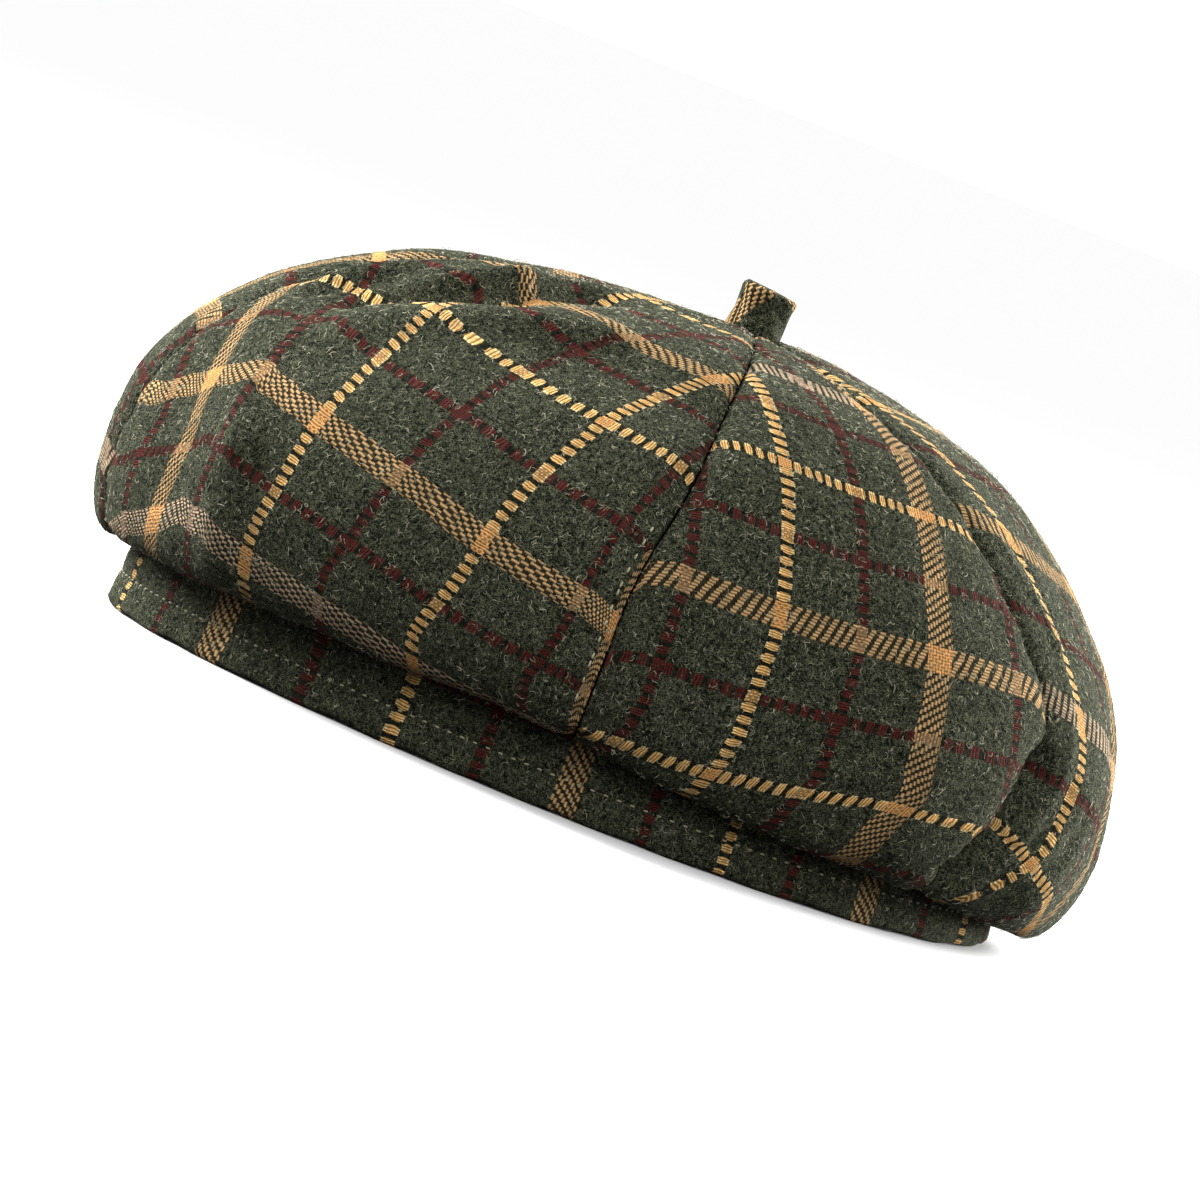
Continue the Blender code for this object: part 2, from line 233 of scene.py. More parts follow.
def seam_azimuth(number, share):
    rows = np.array(SEAM_SHARES, float).T
    return curve(share, rows[0], rows[1 + number])


# %% The plain crown
def plain_point(azimuth, share):
    """Point of the crown's outer face before seams and folds."""
    azimuth, share = np.broadcast_arrays(np.asarray(azimuth, float), np.asarray(share, float))
    band = band_reach(azimuth)
    wide = band + OVERHANG * edge(azimuth, 1)
    wide_z = BAND_HEIGHT + (CROWN_TOP - BAND_HEIGHT) * edge(azimuth, 2)
    low_z = BAND_HEIGHT - SAG * edge(azimuth, 3)
    hole = STALK_WIDTH / 2 + GAP
    at = np.clip(share / DOME_SHARE, 0, 1)
    reach = curve(at, dome_walk, dome[0])
    reach = reach + 4 * edge(azimuth, 4) * reach * (1 - reach)
    dome_r = hole + (wide - hole) * reach
    dome_z = wide_z + (CROWN_TOP - wide_z) * curve(at, dome_walk, dome[1])
    at = np.clip((share - DOME_SHARE) / (1 - DOME_SHARE), 0, 1)
    roll_r = band + (wide - band) * curve(at, roll_walk, roll[0])
    roll_z = low_z + (wide_z - low_z) * curve(at, roll_walk, roll[1])
    roll_z = roll_z + (BAND_HEIGHT + GAP - low_z) * curve(at, roll_walk, roll[2])
    on_dome = share < DOME_SHARE
    radius = np.where(on_dome, dome_r, roll_r)
    height = np.where(on_dome, dome_z, roll_z)
    shift = np.where(on_dome, APEX_OFFSET * (1 - reach), 0.0)
    return around(azimuth, radius, height, shift)


def unit(ways):
    """Directions of length one."""
    return ways / np.linalg.norm(ways, axis=-1, keepdims=True)


def facing(place, azimuth, share):
    """Outward normal of a surface function."""
    da, ds = 0.15, 0.002
    across = place(azimuth + da, share) - place(azimuth - da, share)
    along = place(azimuth, np.clip(share + ds, 0, 1)) - place(azimuth, np.clip(share - ds, 0, 1))
    return unit(np.cross(along, across))


# %% [markdown]
# # Folds, puckers and the swell of the cloth
# Thick fulled wool doesn't crease sharply: it makes soft ridges and hollows, a shallow
# valley along each sewn seam, small puckers where the sewing thread has pulled, and a
# slow unevenness all over. The big folds come from the CAD's own table. The fine
# creases below are too small for the CAD, so they are added here with a second table
# of the same kind, and the seams get a tighter roll where the cloth turns in.

# %% Fine creases of the cloth
CREASE_SHARES = (
    (-0.345, -0.185, -0.230, -0.180, 0.0040, 0.011),
    (-0.330, -0.222, -0.235, -0.226, 0.0030, 0.012),
    (-0.300, -0.300, -0.100, -0.282, -0.0022, 0.016),
    (-0.500, -0.170, -0.520, -0.300, 0.0026, 0.014),
    (-0.455, -0.260, -0.520, -0.420, -0.0040, 0.015),
    (-0.560, -0.330, -0.640, -0.440, -0.0026, 0.018),
    (-0.200, -0.480, -0.150, -0.600, 0.0022, 0.020),
    (-0.070, -0.500, -0.060, -0.640, -0.0018, 0.014),
    (0.110, -0.560, 0.150, -0.660, -0.0030, 0.018),
    (0.240, -0.590, 0.300, -0.660, 0.0026, 0.020),
    (0.340, -0.480, 0.420, -0.600, -0.0020, 0.016),
    (0.470, -0.350, 0.530, -0.460, -0.0026, 0.011),
    (0.560, -0.150, 0.650, -0.250, 0.0026, 0.012),
    (0.530, -0.090, 0.640, -0.140, -0.0028, 0.011),
    (0.590, -0.280, 0.630, -0.400, -0.0024, 0.010),
    (0.480, -0.060, 0.560, -0.040, 0.0020, 0.012),
    (0.350, 0.420, 0.430, 0.500, 0.0028, 0.016),
    (0.080, 0.520, 0.120, 0.640, -0.0026, 0.016),
    (-0.300, 0.540, -0.350, 0.620, -0.0026, 0.016),
    (-0.520, 0.180, -0.620, 0.220, 0.0024, 0.014),
    # Overlapping folds at the top left.
    (-0.263, -0.186, -0.205, -0.172, -0.0095, 0.009),
    (-0.205, -0.172, -0.137, -0.105, -0.0085, 0.009),
    (-0.276, -0.168, -0.204, -0.150, 0.0065, 0.013),
    (-0.204, -0.150, -0.130, -0.080, 0.0060, 0.013),
    (-0.398, -0.169, -0.316, -0.158, -0.0085, 0.009),
    (-0.395, -0.150, -0.310, -0.138, 0.0050, 0.012),
    # The pinched corner at the lower right, with creases beside the seam.
    (0.503, -0.306, 0.536, -0.384, -0.0080, 0.010),
    (0.536, -0.384, 0.594, -0.481, -0.0080, 0.011),
    (0.535, -0.272, 0.562, -0.340, -0.0062, 0.008),
    (0.562, -0.340, 0.610, -0.430, -0.0052, 0.009),
    (0.570, -0.250, 0.605, -0.330, -0.0045, 0.008),
    (0.515, -0.283, 0.548, -0.358, 0.0030, 0.006),
    # The turned edge along the upper part of the same seam.
    (0.300, -0.212, 0.415, -0.226, 0.0036, 0.006),
    (0.415, -0.226, 0.505, -0.268, 0.0036, 0.006),
    (0.330, -0.190, 0.440, -0.200, -0.0026, 0.006),
)
print("fine creases", len(CREASE_SHARES))

# %% Height of the cloth
SEAM_ROLL, SEAM_ROLL_SPREAD = 0.9 * MM, 0.9 * MM
PUCKER, PUCKER_REACH, PUCKER_PITCH, PUCKER_DRIFT = 0.32 * MM, 5.0 * MM, 10.5 * MM, 17 * MM
SWELL, SWELL_COUNT, SWELL_SEED, SWELL_PEAK = 0.22 * MM, 14, 7, 1.5
SWELL_SHORT, SWELL_LONG = 14 * MM, 48 * MM
# Near the headband the relief fades out over this share of the run.
RELIEF_FADE = 0.08


def ridge_heights(table, x, y):
    """Sum of soft ridges between pairs of points on the flat cloth."""
    height = np.zeros_like(x)
    for ax, ay, bx, by, rise, spread in table:
        dx, dy = bx - ax, by - ay
        t = np.clip(((x - ax) * dx + (y - ay) * dy) / (dx * dx + dy * dy), 0, 1)
        away = np.hypot(x - ax - t * dx, y - ay - t * dy)
        height = height + CLOTH_LENGTH * rise * np.exp(-((away / spread) ** 2))
    return height


def swell(points):
    """Slow unevenness: a few long waves in fixed random directions."""
    random = np.random.default_rng(SWELL_SEED)
    height = np.zeros(points.shape[:-1])
    for _ in range(SWELL_COUNT):
        way = random.normal(size=3)
        way = way / np.linalg.norm(way) * 2 * np.pi / random.uniform(SWELL_SHORT, SWELL_LONG)
        height = height + np.sin(points @ way + random.uniform(0, 2 * np.pi))
    return SWELL * height / math.sqrt(SWELL_COUNT / 2) / SWELL_PEAK


def relief(azimuth, share):
    """Height of the real cloth over the plain crown."""
    a = np.radians(azimuth)
    x, y = share * np.sin(a), -share * np.cos(a)
    height = ridge_heights(FOLD_SHARES, x, y) + ridge_heights(CREASE_SHARES, x, y)
    base = plain_point(azimuth, share)
    radius = np.hypot(base[..., 0], base[..., 1])
    height = height + swell(base)
    for number in range(SEAM_COUNT):
        turn = (azimuth - seam_azimuth(number, share) + 180) % 360 - 180
        away = np.radians(np.abs(turn)) * radius
        taper = np.clip(radius / (BAND_WIDTH / 4), 0, 1)
        run = share * CLOTH_LENGTH
        wave = np.sin(2 * np.pi * run / PUCKER_PITCH + 2.0 * np.sin(run / PUCKER_DRIFT) + number)
        height = height + PUCKER * wave * taper * np.exp(-((away / PUCKER_REACH) ** 2))
        height = height - SEAM_DEPTH * taper * np.exp(-((away / SEAM_SPREAD) ** 2))
        turned = SEAM_ROLL * (0.4 + 0.6 * taper)
        height = height - turned * np.exp(-((away / SEAM_ROLL_SPREAD) ** 2))
    return height * np.clip((1 - share) / RELIEF_FADE, 0, 1)


def cloth_point(azimuth, share):
    base = plain_point(azimuth, share)
    return base + facing(plain_point, azimuth, share) * relief(azimuth, share)[..., None]


# %% [markdown]
# # Where the check lies on each gore
# A panel is cut anywhere in the cloth and then pulled over the crown, so each one gets
# its own start, its own turn and a slight bend. Two rows of numbers per gore say which
# stripe lies at its middle and how the count grows across and down it, per 50 mm. They
# are kept on the mesh as a UV map, counted in stripes, so the weave follows the cloth
# through every fold.

# %% The lay of the check
LAY_UNIT = 50 * MM
LAY_MIDDLE = 80 * MM
CHECK_MM = 18.6
LAY_PITCH = CHECK_MM * MM
# The cloth between two stripes is at most this much shorter or longer than woven.
GIVE_LEAST, GIVE_MOST = -0.5, 0.8
LAY = {
    "gore_front_left": (
        (10.549, 1.911, 0.040, 0.269, 0.289, -0.324, 0.322, 0.182, -0.621, 0.099),
        (106.080, 0.157, 3.054, -0.486, -0.240, -0.840, 0.566, 0.228, 0.059, 0.110),
    ),
    "gore_front_right": (
        (6.985, 2.990, 0.150, 0.000, -0.500, 0.160, -0.338, 0.240, -0.109, -0.382),
        (2.362, -0.324, 2.825, -0.224, 0.202, 0.047, -0.021),
    ),
    "gore_right": (
        (3.810, 2.940, 0.765),
        (7.881, -0.458, 1.989, 0.196, -0.107, 0.047, 0.277),
    ),
    "gore_back_right": (
        (6.300, 2.620, -0.120, 0.000, 0.050),
        (3.600, 0.110, 2.560, -0.060, 0.000, 0.080),
    ),
    "gore_back": (
        (11.450, 2.640, 0.090, 0.000, -0.040),
        (8.150, -0.090, 2.580, -0.060, 0.000, 0.080),
    ),
    "gore_left": (
        (2.300, 2.600, -0.060, 0.000, 0.040),
        (6.200, 0.060, 2.540, -0.060, 0.000, 0.080),
    ),
}

# Above this height on a gore the counts grow evenly, as far as the stalk.
LAY_EVEN, LAY_EVEN_FRONT_LEFT = -1.1, -0.6
# The front left gore is cut with the other face of the cloth out, so its twill leans
# the other way. Its weft is counted from 100 on, and the shader knows it by that.
OTHER_FACE = 50
# Beside the front seam the cloth was eased in, so its edge shows the next wide stripe.
EASE_GORE, EASE_COUNT, EASE_REACH = "gore_front_left", 0.56, 4.6 * MM
EASE_FROM, EASE_FULL = 92 * MM, 104 * MM


def lay_check(name, across, down):
    """Stripe counts (warp, weft) at distances across and down a gore."""
    x, y = across / LAY_UNIT, (down - LAY_MIDDLE) / LAY_UNIT
    even = LAY_EVEN_FRONT_LEFT if name == EASE_GORE else LAY_EVEN
    u, v = np.clip(x, -1.3, 1.3), np.clip(y, even, 1.2)
    terms = (np.ones_like(x), x, y, u * u, u * v, v * v, v**3, u * v * v, u * u * v, u**3)
    counts = np.stack([sum(c * t for c, t in zip(row, terms)) for row in LAY[name]], axis=-1)
    # The cloth gives between its stripes, while a stripe keeps its own width.
    steps_down = np.gradient(down, axis=0)
    steps_across = np.gradient(across, axis=1)
    for k in range(2):
        growth = np.hypot(np.gradient(counts[..., k], axis=0) / steps_down,
                          np.gradient(counts[..., k], axis=1) / steps_across)
        give = np.clip(1 / (growth * LAY_PITCH) - 1, GIVE_LEAST, GIVE_MOST)
        counts[..., k] += give * np.sin(2 * np.pi * counts[..., k]) / (2 * np.pi)
    if name == EASE_GORE:
        from_seam = across[:, -1:] - across
        there = np.clip((down - EASE_FROM) / (EASE_FULL - EASE_FROM), 0, 1)
        counts[..., 0] += EASE_COUNT * there * np.exp(-((from_seam / EASE_REACH) ** 2))
    return counts


# %% [markdown]
# # Sewing a mesh together
# Every piece is a closed skin, so that it is a real solid when it is exported. One
# helper makes a mesh from numbers, shades it smooth and stores the stripe counts.

# %% Mesh helpers
def add_mesh(name, points, faces, counts=None, material=None):
    """Named mesh from points and faces, with the stripe counts as its UV map."""
    mesh = bpy.data.meshes.new(name)
    mesh.from_pydata(np.asarray(points).reshape(-1, 3).tolist(), [], faces)
    mesh.update()
    mesh.polygons.foreach_set("use_smooth", np.ones(len(mesh.polygons), bool))
    if counts is not None:
        corner = np.zeros(len(mesh.loops), np.int32)
        mesh.loops.foreach_get("vertex_index", corner)
        layer = mesh.uv_layers.new(name="cloth")
        flat = np.asarray(counts, np.float32).reshape(-1, 2)[corner]
        layer.data.foreach_set("uv", flat.ravel())
    piece = bpy.data.objects.new(name, mesh)
    bpy.context.scene.collection.objects.link(piece)
    if material is not None:
        mesh.materials.append(material)
    return piece


def slab_faces(rows, columns):
    """Closed slab: outer grid, inner grid and the rim between them."""
    j, i = np.meshgrid(np.arange(rows - 1), np.arange(columns - 1), indexing="ij")
    a = (j * columns + i).ravel()
    outer = np.stack([a, a + columns, a + columns + 1, a + 1], axis=-1)
    inner = outer[:, ::-1] + rows * columns
    around = [(0, k) for k in range(columns)]
    around += [(k, columns - 1) for k in range(1, rows)]
    around += [(rows - 1, k) for k in range(columns - 2, -1, -1)]
    around += [(k, 0) for k in range(rows - 2, 0, -1)]
    ring = np.array([r * columns + c for r, c in around])
    after = np.roll(ring, -1)
    rim = np.stack([ring, after, after + rows * columns, ring + rows * columns], axis=-1)
    return np.concatenate([outer, inner, rim]).tolist()


def tube_faces(rings, sides, start=0):
    """Closed tube: faces between rings of corners, and one face at each end."""
    faces = []
    for low in range(start, start + (rings - 1) * sides, sides):
        for i in range(sides):
            k = (i + 1) % sides
            faces.append((low + i, low + k, low + sides + k, low + sides + i))
    last = start + (rings - 1) * sides
    faces.append([start + i for i in range(sides)][::-1])
    faces.append([last + i for i in range(sides)])
    return faces


def add_tubes(name, paths, first, second, thick, sides, material):
    """Closed tubes round paths, with two directions across each path."""
    angle = (np.arange(sides) * 2 * np.pi / sides)[:, None]
    ring = first[:, :, None] * np.cos(angle) + second[:, :, None] * np.sin(angle)
    count, steps = paths.shape[:2]
    starts = range(0, count * steps * sides, steps * sides)
    faces = [face for start in starts for face in tube_faces(steps, sides, start)]
    return add_mesh(name, paths[:, :, None] + thick * ring, faces, None, material)


def tidy_normals(piece):
    """Turn every face outward."""
    work = bmesh.new()
    work.from_mesh(piece.data)
    bmesh.ops.recalc_face_normals(work, faces=work.faces)
    work.to_mesh(piece.data)
    work.free()
    return piece


# %% [markdown]
# # Colour and nodes
# Colours are picked the way a screen shows them and turned to linear light once. One
# small function adds a shader node, sets it and links it, and a second one strings
# several steps of arithmetic together.

# %% Shader helpers
def linear(code):
    """An sRGB hex colour as linear light."""
    parts = [int(code[k : k + 2], 16) / 255 for k in (1, 3, 5)]
    return tuple(c / 12.92 if c <= 0.04045 else ((c + 0.055) / 1.055) ** 2.4 for c in parts)


def add(tree, kind, links=(), **settings):
    """One shader node, set and linked. Each link is a node, a socket or a value, in the
    order of the inputs or under the input's name or number."""
    node = tree.nodes.new("ShaderNode" + kind)
    for name, value in settings.items():
        setattr(node, name, value)
    for key, value in links.items() if isinstance(links, dict) else enumerate(links):
        source = value.outputs[0] if isinstance(value, bpy.types.Node) else value
        if isinstance(source, bpy.types.NodeSocket):
            tree.links.new(source, node.inputs[key])
        else:
            node.inputs[key].default_value = source
    return node


def chain(tree, kind, value, *steps):
    """A run of nodes of one kind, each an operation with what it takes besides."""
    for operation, *links in steps:
        value = add(tree, kind, (value, *links), operation=operation)
    return value


def new_material(name, finish):
    """Material, its node tree, its place on the object and its surface, finish set."""
    material = bpy.data.materials.new(name)
    material.use_nodes = True
    tree = material.node_tree
    surface = tree.nodes["Principled BSDF"]
    for socket, value in finish.items():
        surface.inputs[socket].default_value = value
    return material, tree, add(tree, "TexCoord").outputs["Object"], surface


# %% [markdown]
# # The cloth: fulled wool check in a two-and-two twill
# The yarn is woollen and thick, about 0.58 mm from thread to thread, and the woven
# cloth was fulled: washed and rubbed until the fibres felt together. To the eye that
# gives a matt dark green ground with hardly any weave left in it, pale fibres curling
# over it, and stripes whose short floats still show as steps and blocks. Warp and weft
# each have their own order of stripes. The shader counts threads from the UV map, asks
# for each thread's colour, and decides which thread lies on top: in the ground and in
# the wide ochre stripes the floats step sideways in a twill, while the narrow yellow
# and burgundy stripes rise and fall together and so break into blocks.

# %% Yarn orders and colours
THREADS = 32
FERN = linear("#11160e")
OCHRE = linear("#b8956a")
CROSSED = linear("#d99a5c")
YELLOW = linear("#dcab6b")
CREAM = linear("#ead29f")
BURGUNDY = linear("#4c1a1b")
BLUSH = linear("#b49d85")
FIBRE = linear("#8a8d73")
WARP_ORDER = "WbNbWbNbWbNbNb"
WEFT_ORDER = "PbNbWbNbWb"
STRIPES = {
    "W": ((1, 0, 0), OCHRE),
    "N": ((0, 1, 0), YELLOW),
    "b": ((0, 0, 1), BURGUNDY),
    "P": ((1, 0, 0), BLUSH),
}
WIDE_HALF, NARROW_HALF, THIN_HALF = 5.0, 2.5, 2.0
# A thread of a wide stripe is as thick as this many ground threads.
WIDE_THREAD = 1.25
# Floats per ground thread along a stripe, and the share of each that lies on top.
WIDE_FLOATS, WIDE_OVER = 0.27, 0.54
BLOCK_FLOATS, BLOCK_OVER, RIM_OVER = 0.21, 0.66, 0.50
# Floats that the twill moves on from one thread of a wide stripe to the next.
WARP_LEAN, WEFT_LEAN, LEAN_OTHER_FACE = 0.32, 0.15, -0.40


def fill_ramp(ramp, colours):
    """Constant steps, one per stripe of the order."""
    ramp.interpolation = "CONSTANT"
    while len(ramp.elements) < len(colours):
        ramp.elements.new(0.5)
    for k, colour in enumerate(colours):
        ramp.elements[k].position = k / len(colours)
    for k, colour in enumerate(colours):
        ramp.elements[k].color = (*colour, 1)


# %% The yarn of one direction
# Threads from the middle of a yellow stripe to its paler yarn, and how much paler.
PALE_FROM, PALE_SHARE = 1.5, 0.55
# No two threads are spun or dyed quite alike: the darkest, and the spread above it.
YARN_DARKEST, YARN_SPREAD = 0.85, 0.30


def round_section(tree, threads):
    """1 along the middle of a thread and 0 at its edges, for a place in threads."""
    middle = chain(tree, "Math", threads, ("FRACT",), ("MULTIPLY_ADD", 2, -1))
    return chain(tree, "Math", middle, ("MULTIPLY", middle), ("MULTIPLY_ADD", -1, 1))


def yarn(tree, count, along, order, lean):
    """Colour, masks and round section of the thread at a place across the yarn."""
    shifted = add(tree, "Math", (count, 0.5), operation="ADD")
    number = add(tree, "Math", (shifted,), operation="FLOOR")
    stripe = chain(tree, "Math", number, ("MULTIPLY_ADD", 1 / THREADS, 0.5), ("FLOOR",))
    offset = add(tree, "Math", (stripe, -THREADS, number), operation="MULTIPLY_ADD")
    size = len(order)
    turn = chain(tree, "Math", stripe, ("MULTIPLY_ADD", 1 / size, 0.5 / size), ("FRACT",))
    kind, hue = add(tree, "ValToRGB", (turn,)), add(tree, "ValToRGB", (turn,))
    fill_ramp(kind.color_ramp, [STRIPES[s][0] for s in order])
    fill_ramp(hue.color_ramp, [STRIPES[s][1] for s in order])
    flags = add(tree, "SeparateColor", (kind,)).outputs
    wide, narrow, thin = (
        chain(tree, "Math", offset, ("ADD", shift), ("ABSOLUTE",), ("LESS_THAN", half),
              ("MULTIPLY", flag))
        for shift, half, flag in zip((0.5, 0, 0.5), (WIDE_HALF, NARROW_HALF, THIN_HALF), flags)
    )
    in_step = add(tree, "Math", (narrow, thin), operation="ADD")
    striped = add(tree, "Math", (in_step, wide), operation="ADD")
    # The outer threads of a yellow stripe are a paler yarn.
    outer = chain(tree, "Math", offset, ("ABSOLUTE",), ("GREATER_THAN", PALE_FROM),
                  ("MULTIPLY", narrow))
    paler = add(tree, "Math", (outer, PALE_SHARE), operation="MULTIPLY")
    hue = add(tree, "MixRGB", (paler, hue, (*CREAM, 1)))
    colour = add(tree, "MixRGB", (striped, (*FERN, 1), hue))
    shade = add(tree, "TexWhiteNoise", {"W": number}, noise_dimensions="1D")
    shade = add(tree, "Math", (shade, YARN_SPREAD, YARN_DARKEST), operation="MULTIPLY_ADD")
    colour = add(tree, "MixRGB", (1.0, colour, shade), blend_type="MULTIPLY")
    # A wide stripe is woven of thicker yarn, and its floats step sideways.
    fine = round_section(tree, shifted)
    thick = add(tree, "Math", (count, 1 / WIDE_THREAD), operation="MULTIPLY")
    bulge = add(tree, "Mix", {0: wide, 2: fine, 3: round_section(tree, thick)})
    moved = chain(tree, "Math", thick, ("FLOOR",), ("MULTIPLY", lean))
    wide_over = chain(tree, "Math", along, ("MULTIPLY_ADD", WIDE_FLOATS, moved), ("FRACT",),
                      ("LESS_THAN", WIDE_OVER))
    # Threads of a narrow stripe float all together; its outer threads come up later.
    reach = add(tree, "Mix", {0: outer, 2: BLOCK_OVER / 2, 3: RIM_OVER / 2})
    block = chain(tree, "Math", along, ("MULTIPLY", BLOCK_FLOATS), ("FRACT",),
                  ("ADD", -BLOCK_OVER / 2), ("ABSOLUTE",), ("LESS_THAN", reach))
    over = add(tree, "Mix", {0: wide, 2: block, 3: wide_over})
    gold = add(tree, "Math", (wide, narrow), operation="ADD")
    return {"number": number, "colour": colour, "striped": striped, "in_step": in_step,
            "bulge": bulge, "over": over, "wide": wide, "gold": gold, "fine": fine}


# %% How the threads cross
STRAY_SIZE, STRAY_THREADS = 2.6 * MM, 1.5
TWILL_OVER = 0.45
# How far the two yarns' colours mingle: in a wide stripe, in the square where two
# stripes cross, and in a square of two golden stripes.
WIDE_NAP, SQUARE_MINGLED, GOLDEN_MINGLED = 0.12, 0.62, 0.75
# The warp's share in such a square, and how much more or less when one is golden.
SQUARE_EVEN, SQUARE_PALER = 0.5, 0.28
DIVE_SHADE = 0.30


def weave(tree, place):
    """Colour and round section on top of the cloth, and where stripes are."""
    lay = add(tree, "UVMap", uv_map="cloth")
    # Fulling has drawn the threads a little out of line.
    stray = add(tree, "TexNoise", {"Vector": place, "Scale": 1 / STRAY_SIZE, "Detail": 3.0})
    stray = chain(tree, "VectorMath", stray.outputs["Color"], ("SUBTRACT", (0.5, 0.5, 0.5)),
                  ("MULTIPLY", (STRAY_THREADS, STRAY_THREADS, 0.0)))
    thread = chain(tree, "VectorMath", lay, ("MULTIPLY", (THREADS, THREADS, 0)), ("ADD", stray))
    split = add(tree, "SeparateXYZ", (thread,))
    face = add(tree, "SeparateXYZ", (lay,))
    face = add(tree, "Math", (face.outputs[1], float(OTHER_FACE)), operation="GREATER_THAN")
    lean = add(tree, "Mix", {0: face, 2: WEFT_LEAN, 3: LEAN_OTHER_FACE})
    warp = yarn(tree, split.outputs[0], split.outputs[1], WARP_ORDER, WARP_LEAN)
    weft = yarn(tree, split.outputs[1], split.outputs[0], WEFT_ORDER, lean)
    # Twill: over two, under two, one thread further at each pick.
    step = add(tree, "Math", (warp["number"], weft["number"]), operation="ADD")
    twill = chain(tree, "Math", step, ("MULTIPLY", 0.25), ("FRACT",), ("LESS_THAN", TWILL_OVER))
    # Where two stripes cross they make a close square of plain weave.
    plain = chain(tree, "Math", step, ("MULTIPLY", 0.5), ("FRACT",), ("LESS_THAN", 0.25))
    square = add(tree, "Math", (warp["striped"], weft["striped"]), operation="MULTIPLY")
    loose = add(tree, "Math", (1.0, square), operation="SUBTRACT")
    under = add(tree, "Math", (1.0, weft["over"]), operation="SUBTRACT")
    top = add(tree, "Mix", {0: square, 2: twill, 3: plain})
    for direction, over in ((warp, warp["over"]), (weft, under)):
        alone = add(tree, "Math", (direction["striped"], loose), operation="MULTIPLY")
        top = add(tree, "Mix", {0: alone, 2: top, 3: over})
    # In a wide stripe the nap carries a little of its colour over the crossing threads.
    wide = chain(tree, "Math", warp["wide"], ("MAXIMUM", weft["wide"]), ("MULTIPLY", WIDE_NAP))
    # Where a yellow and a burgundy stripe cross, the paler yarn shows most.
    mingled = chain(tree, "Math", square, ("MULTIPLY", SQUARE_MINGLED), ("MAXIMUM", wide))
    paler = chain(tree, "Math", warp["gold"], ("SUBTRACT", weft["gold"]), ("MULTIPLY", square),
                  ("MULTIPLY_ADD", SQUARE_PALER, SQUARE_EVEN))
    blend = add(tree, "Mix", {0: mingled, 2: top, 3: paler})
    colour = add(tree, "MixRGB", (blend, weft["colour"], warp["colour"]))
    richer = chain(tree, "Math", warp["gold"], ("MULTIPLY", weft["gold"]),
                   ("MULTIPLY", GOLDEN_MINGLED))
    colour = add(tree, "MixRGB", (richer, colour, (*CROSSED, 1)))
    # A float of a narrow stripe is pinched by every thread that it crosses.
    warp_bulge = add(tree, "Mix", {0: warp["in_step"], 2: warp["bulge"], 3: weft["fine"]})
    weft_bulge = add(tree, "Mix", {0: weft["in_step"], 2: weft["bulge"], 3: warp["fine"]})
    bulge = add(tree, "Mix", {0: top, 2: weft_bulge, 3: warp_bulge})
    striped = add(tree, "Mix", {0: top, 2: weft["striped"], 3: warp["striped"]})
    # Where a stripe's own threads dive under, the cloth is pulled in and lies in shade.
    either = add(tree, "Math", (warp["striped"], weft["striped"]), operation="MAXIMUM")
    dive = chain(tree, "Math", either, ("SUBTRACT", striped), ("MULTIPLY_ADD", -DIVE_SHADE, 1.0))
    colour = add(tree, "MixRGB", (1.0, colour, dive), blend_type="MULTIPLY")
    return colour, bulge, striped, either


# %% The fulled cloth
# Curls of the nap: size, thinness, bend and how much of the cloth stays bare.
CURL_LAYERS = (
    (1.05 * MM, 0.034, 2.6, 0.42),
    (1.35 * MM, 0.030, 2.6, 0.44),
    (1.70 * MM, 0.026, 3.0, 0.46),
)
FELT_SIZE, TUFT_SIZE = 0.50 * MM, 3.0 * MM
# How crisp the threads stay in the ground and in a stripe, and how steep their sides are.
CRISP_GROUND, CRISP_STRIPE, THREAD_STEEP = 0.30, 0.60, 1.7
# Nap that covers the ground, how much less of it a stripe has, and how high it stands.
NAP_GROUND, NAP_LESS, NAP_HEIGHT = 0.60, 0.46, 0.35
BUMP_SHARE, BUMP_HEIGHT = 0.9, 0.28 * MM
TUFT_DARK, TUFT_PALE = (0.82, 0.84, 0.80, 1), (1.16, 1.14, 1.08, 1)
# What part of a pattern's range is used, and what it becomes.
FELT_RANGE, TUFT_RANGE = (0.38, 0.62, 0.0, 1.0), (0.35, 0.68, 0.0, 1.0)
# Painted shade in the hollows between threads and painted light on their crowns, mixed with the
# felt's random mottling: the range that multiplies the colour.
SHADE_AND_MOTTLE_RANGE = (0.10, 0.90, 0.35, 1.50)
# The full core of a curl against its width, and the size and soft edge of bare places.
CURL_CORE, BARE_SIZE, BARE_FROM, BARE_TO = 0.55, 0.8, -0.04, 0.06
# Felted wool scatters nearly all light, with a trace of sheen from its fibre ends.
WOOL_FINISH = {
    "Roughness": 0.95, "Specular IOR Level": 0.03, "Sheen Weight": 0.03,
    "Sheen Roughness": 0.45, "Sheen Tint": (*linear("#d8d6bc"), 1),
}


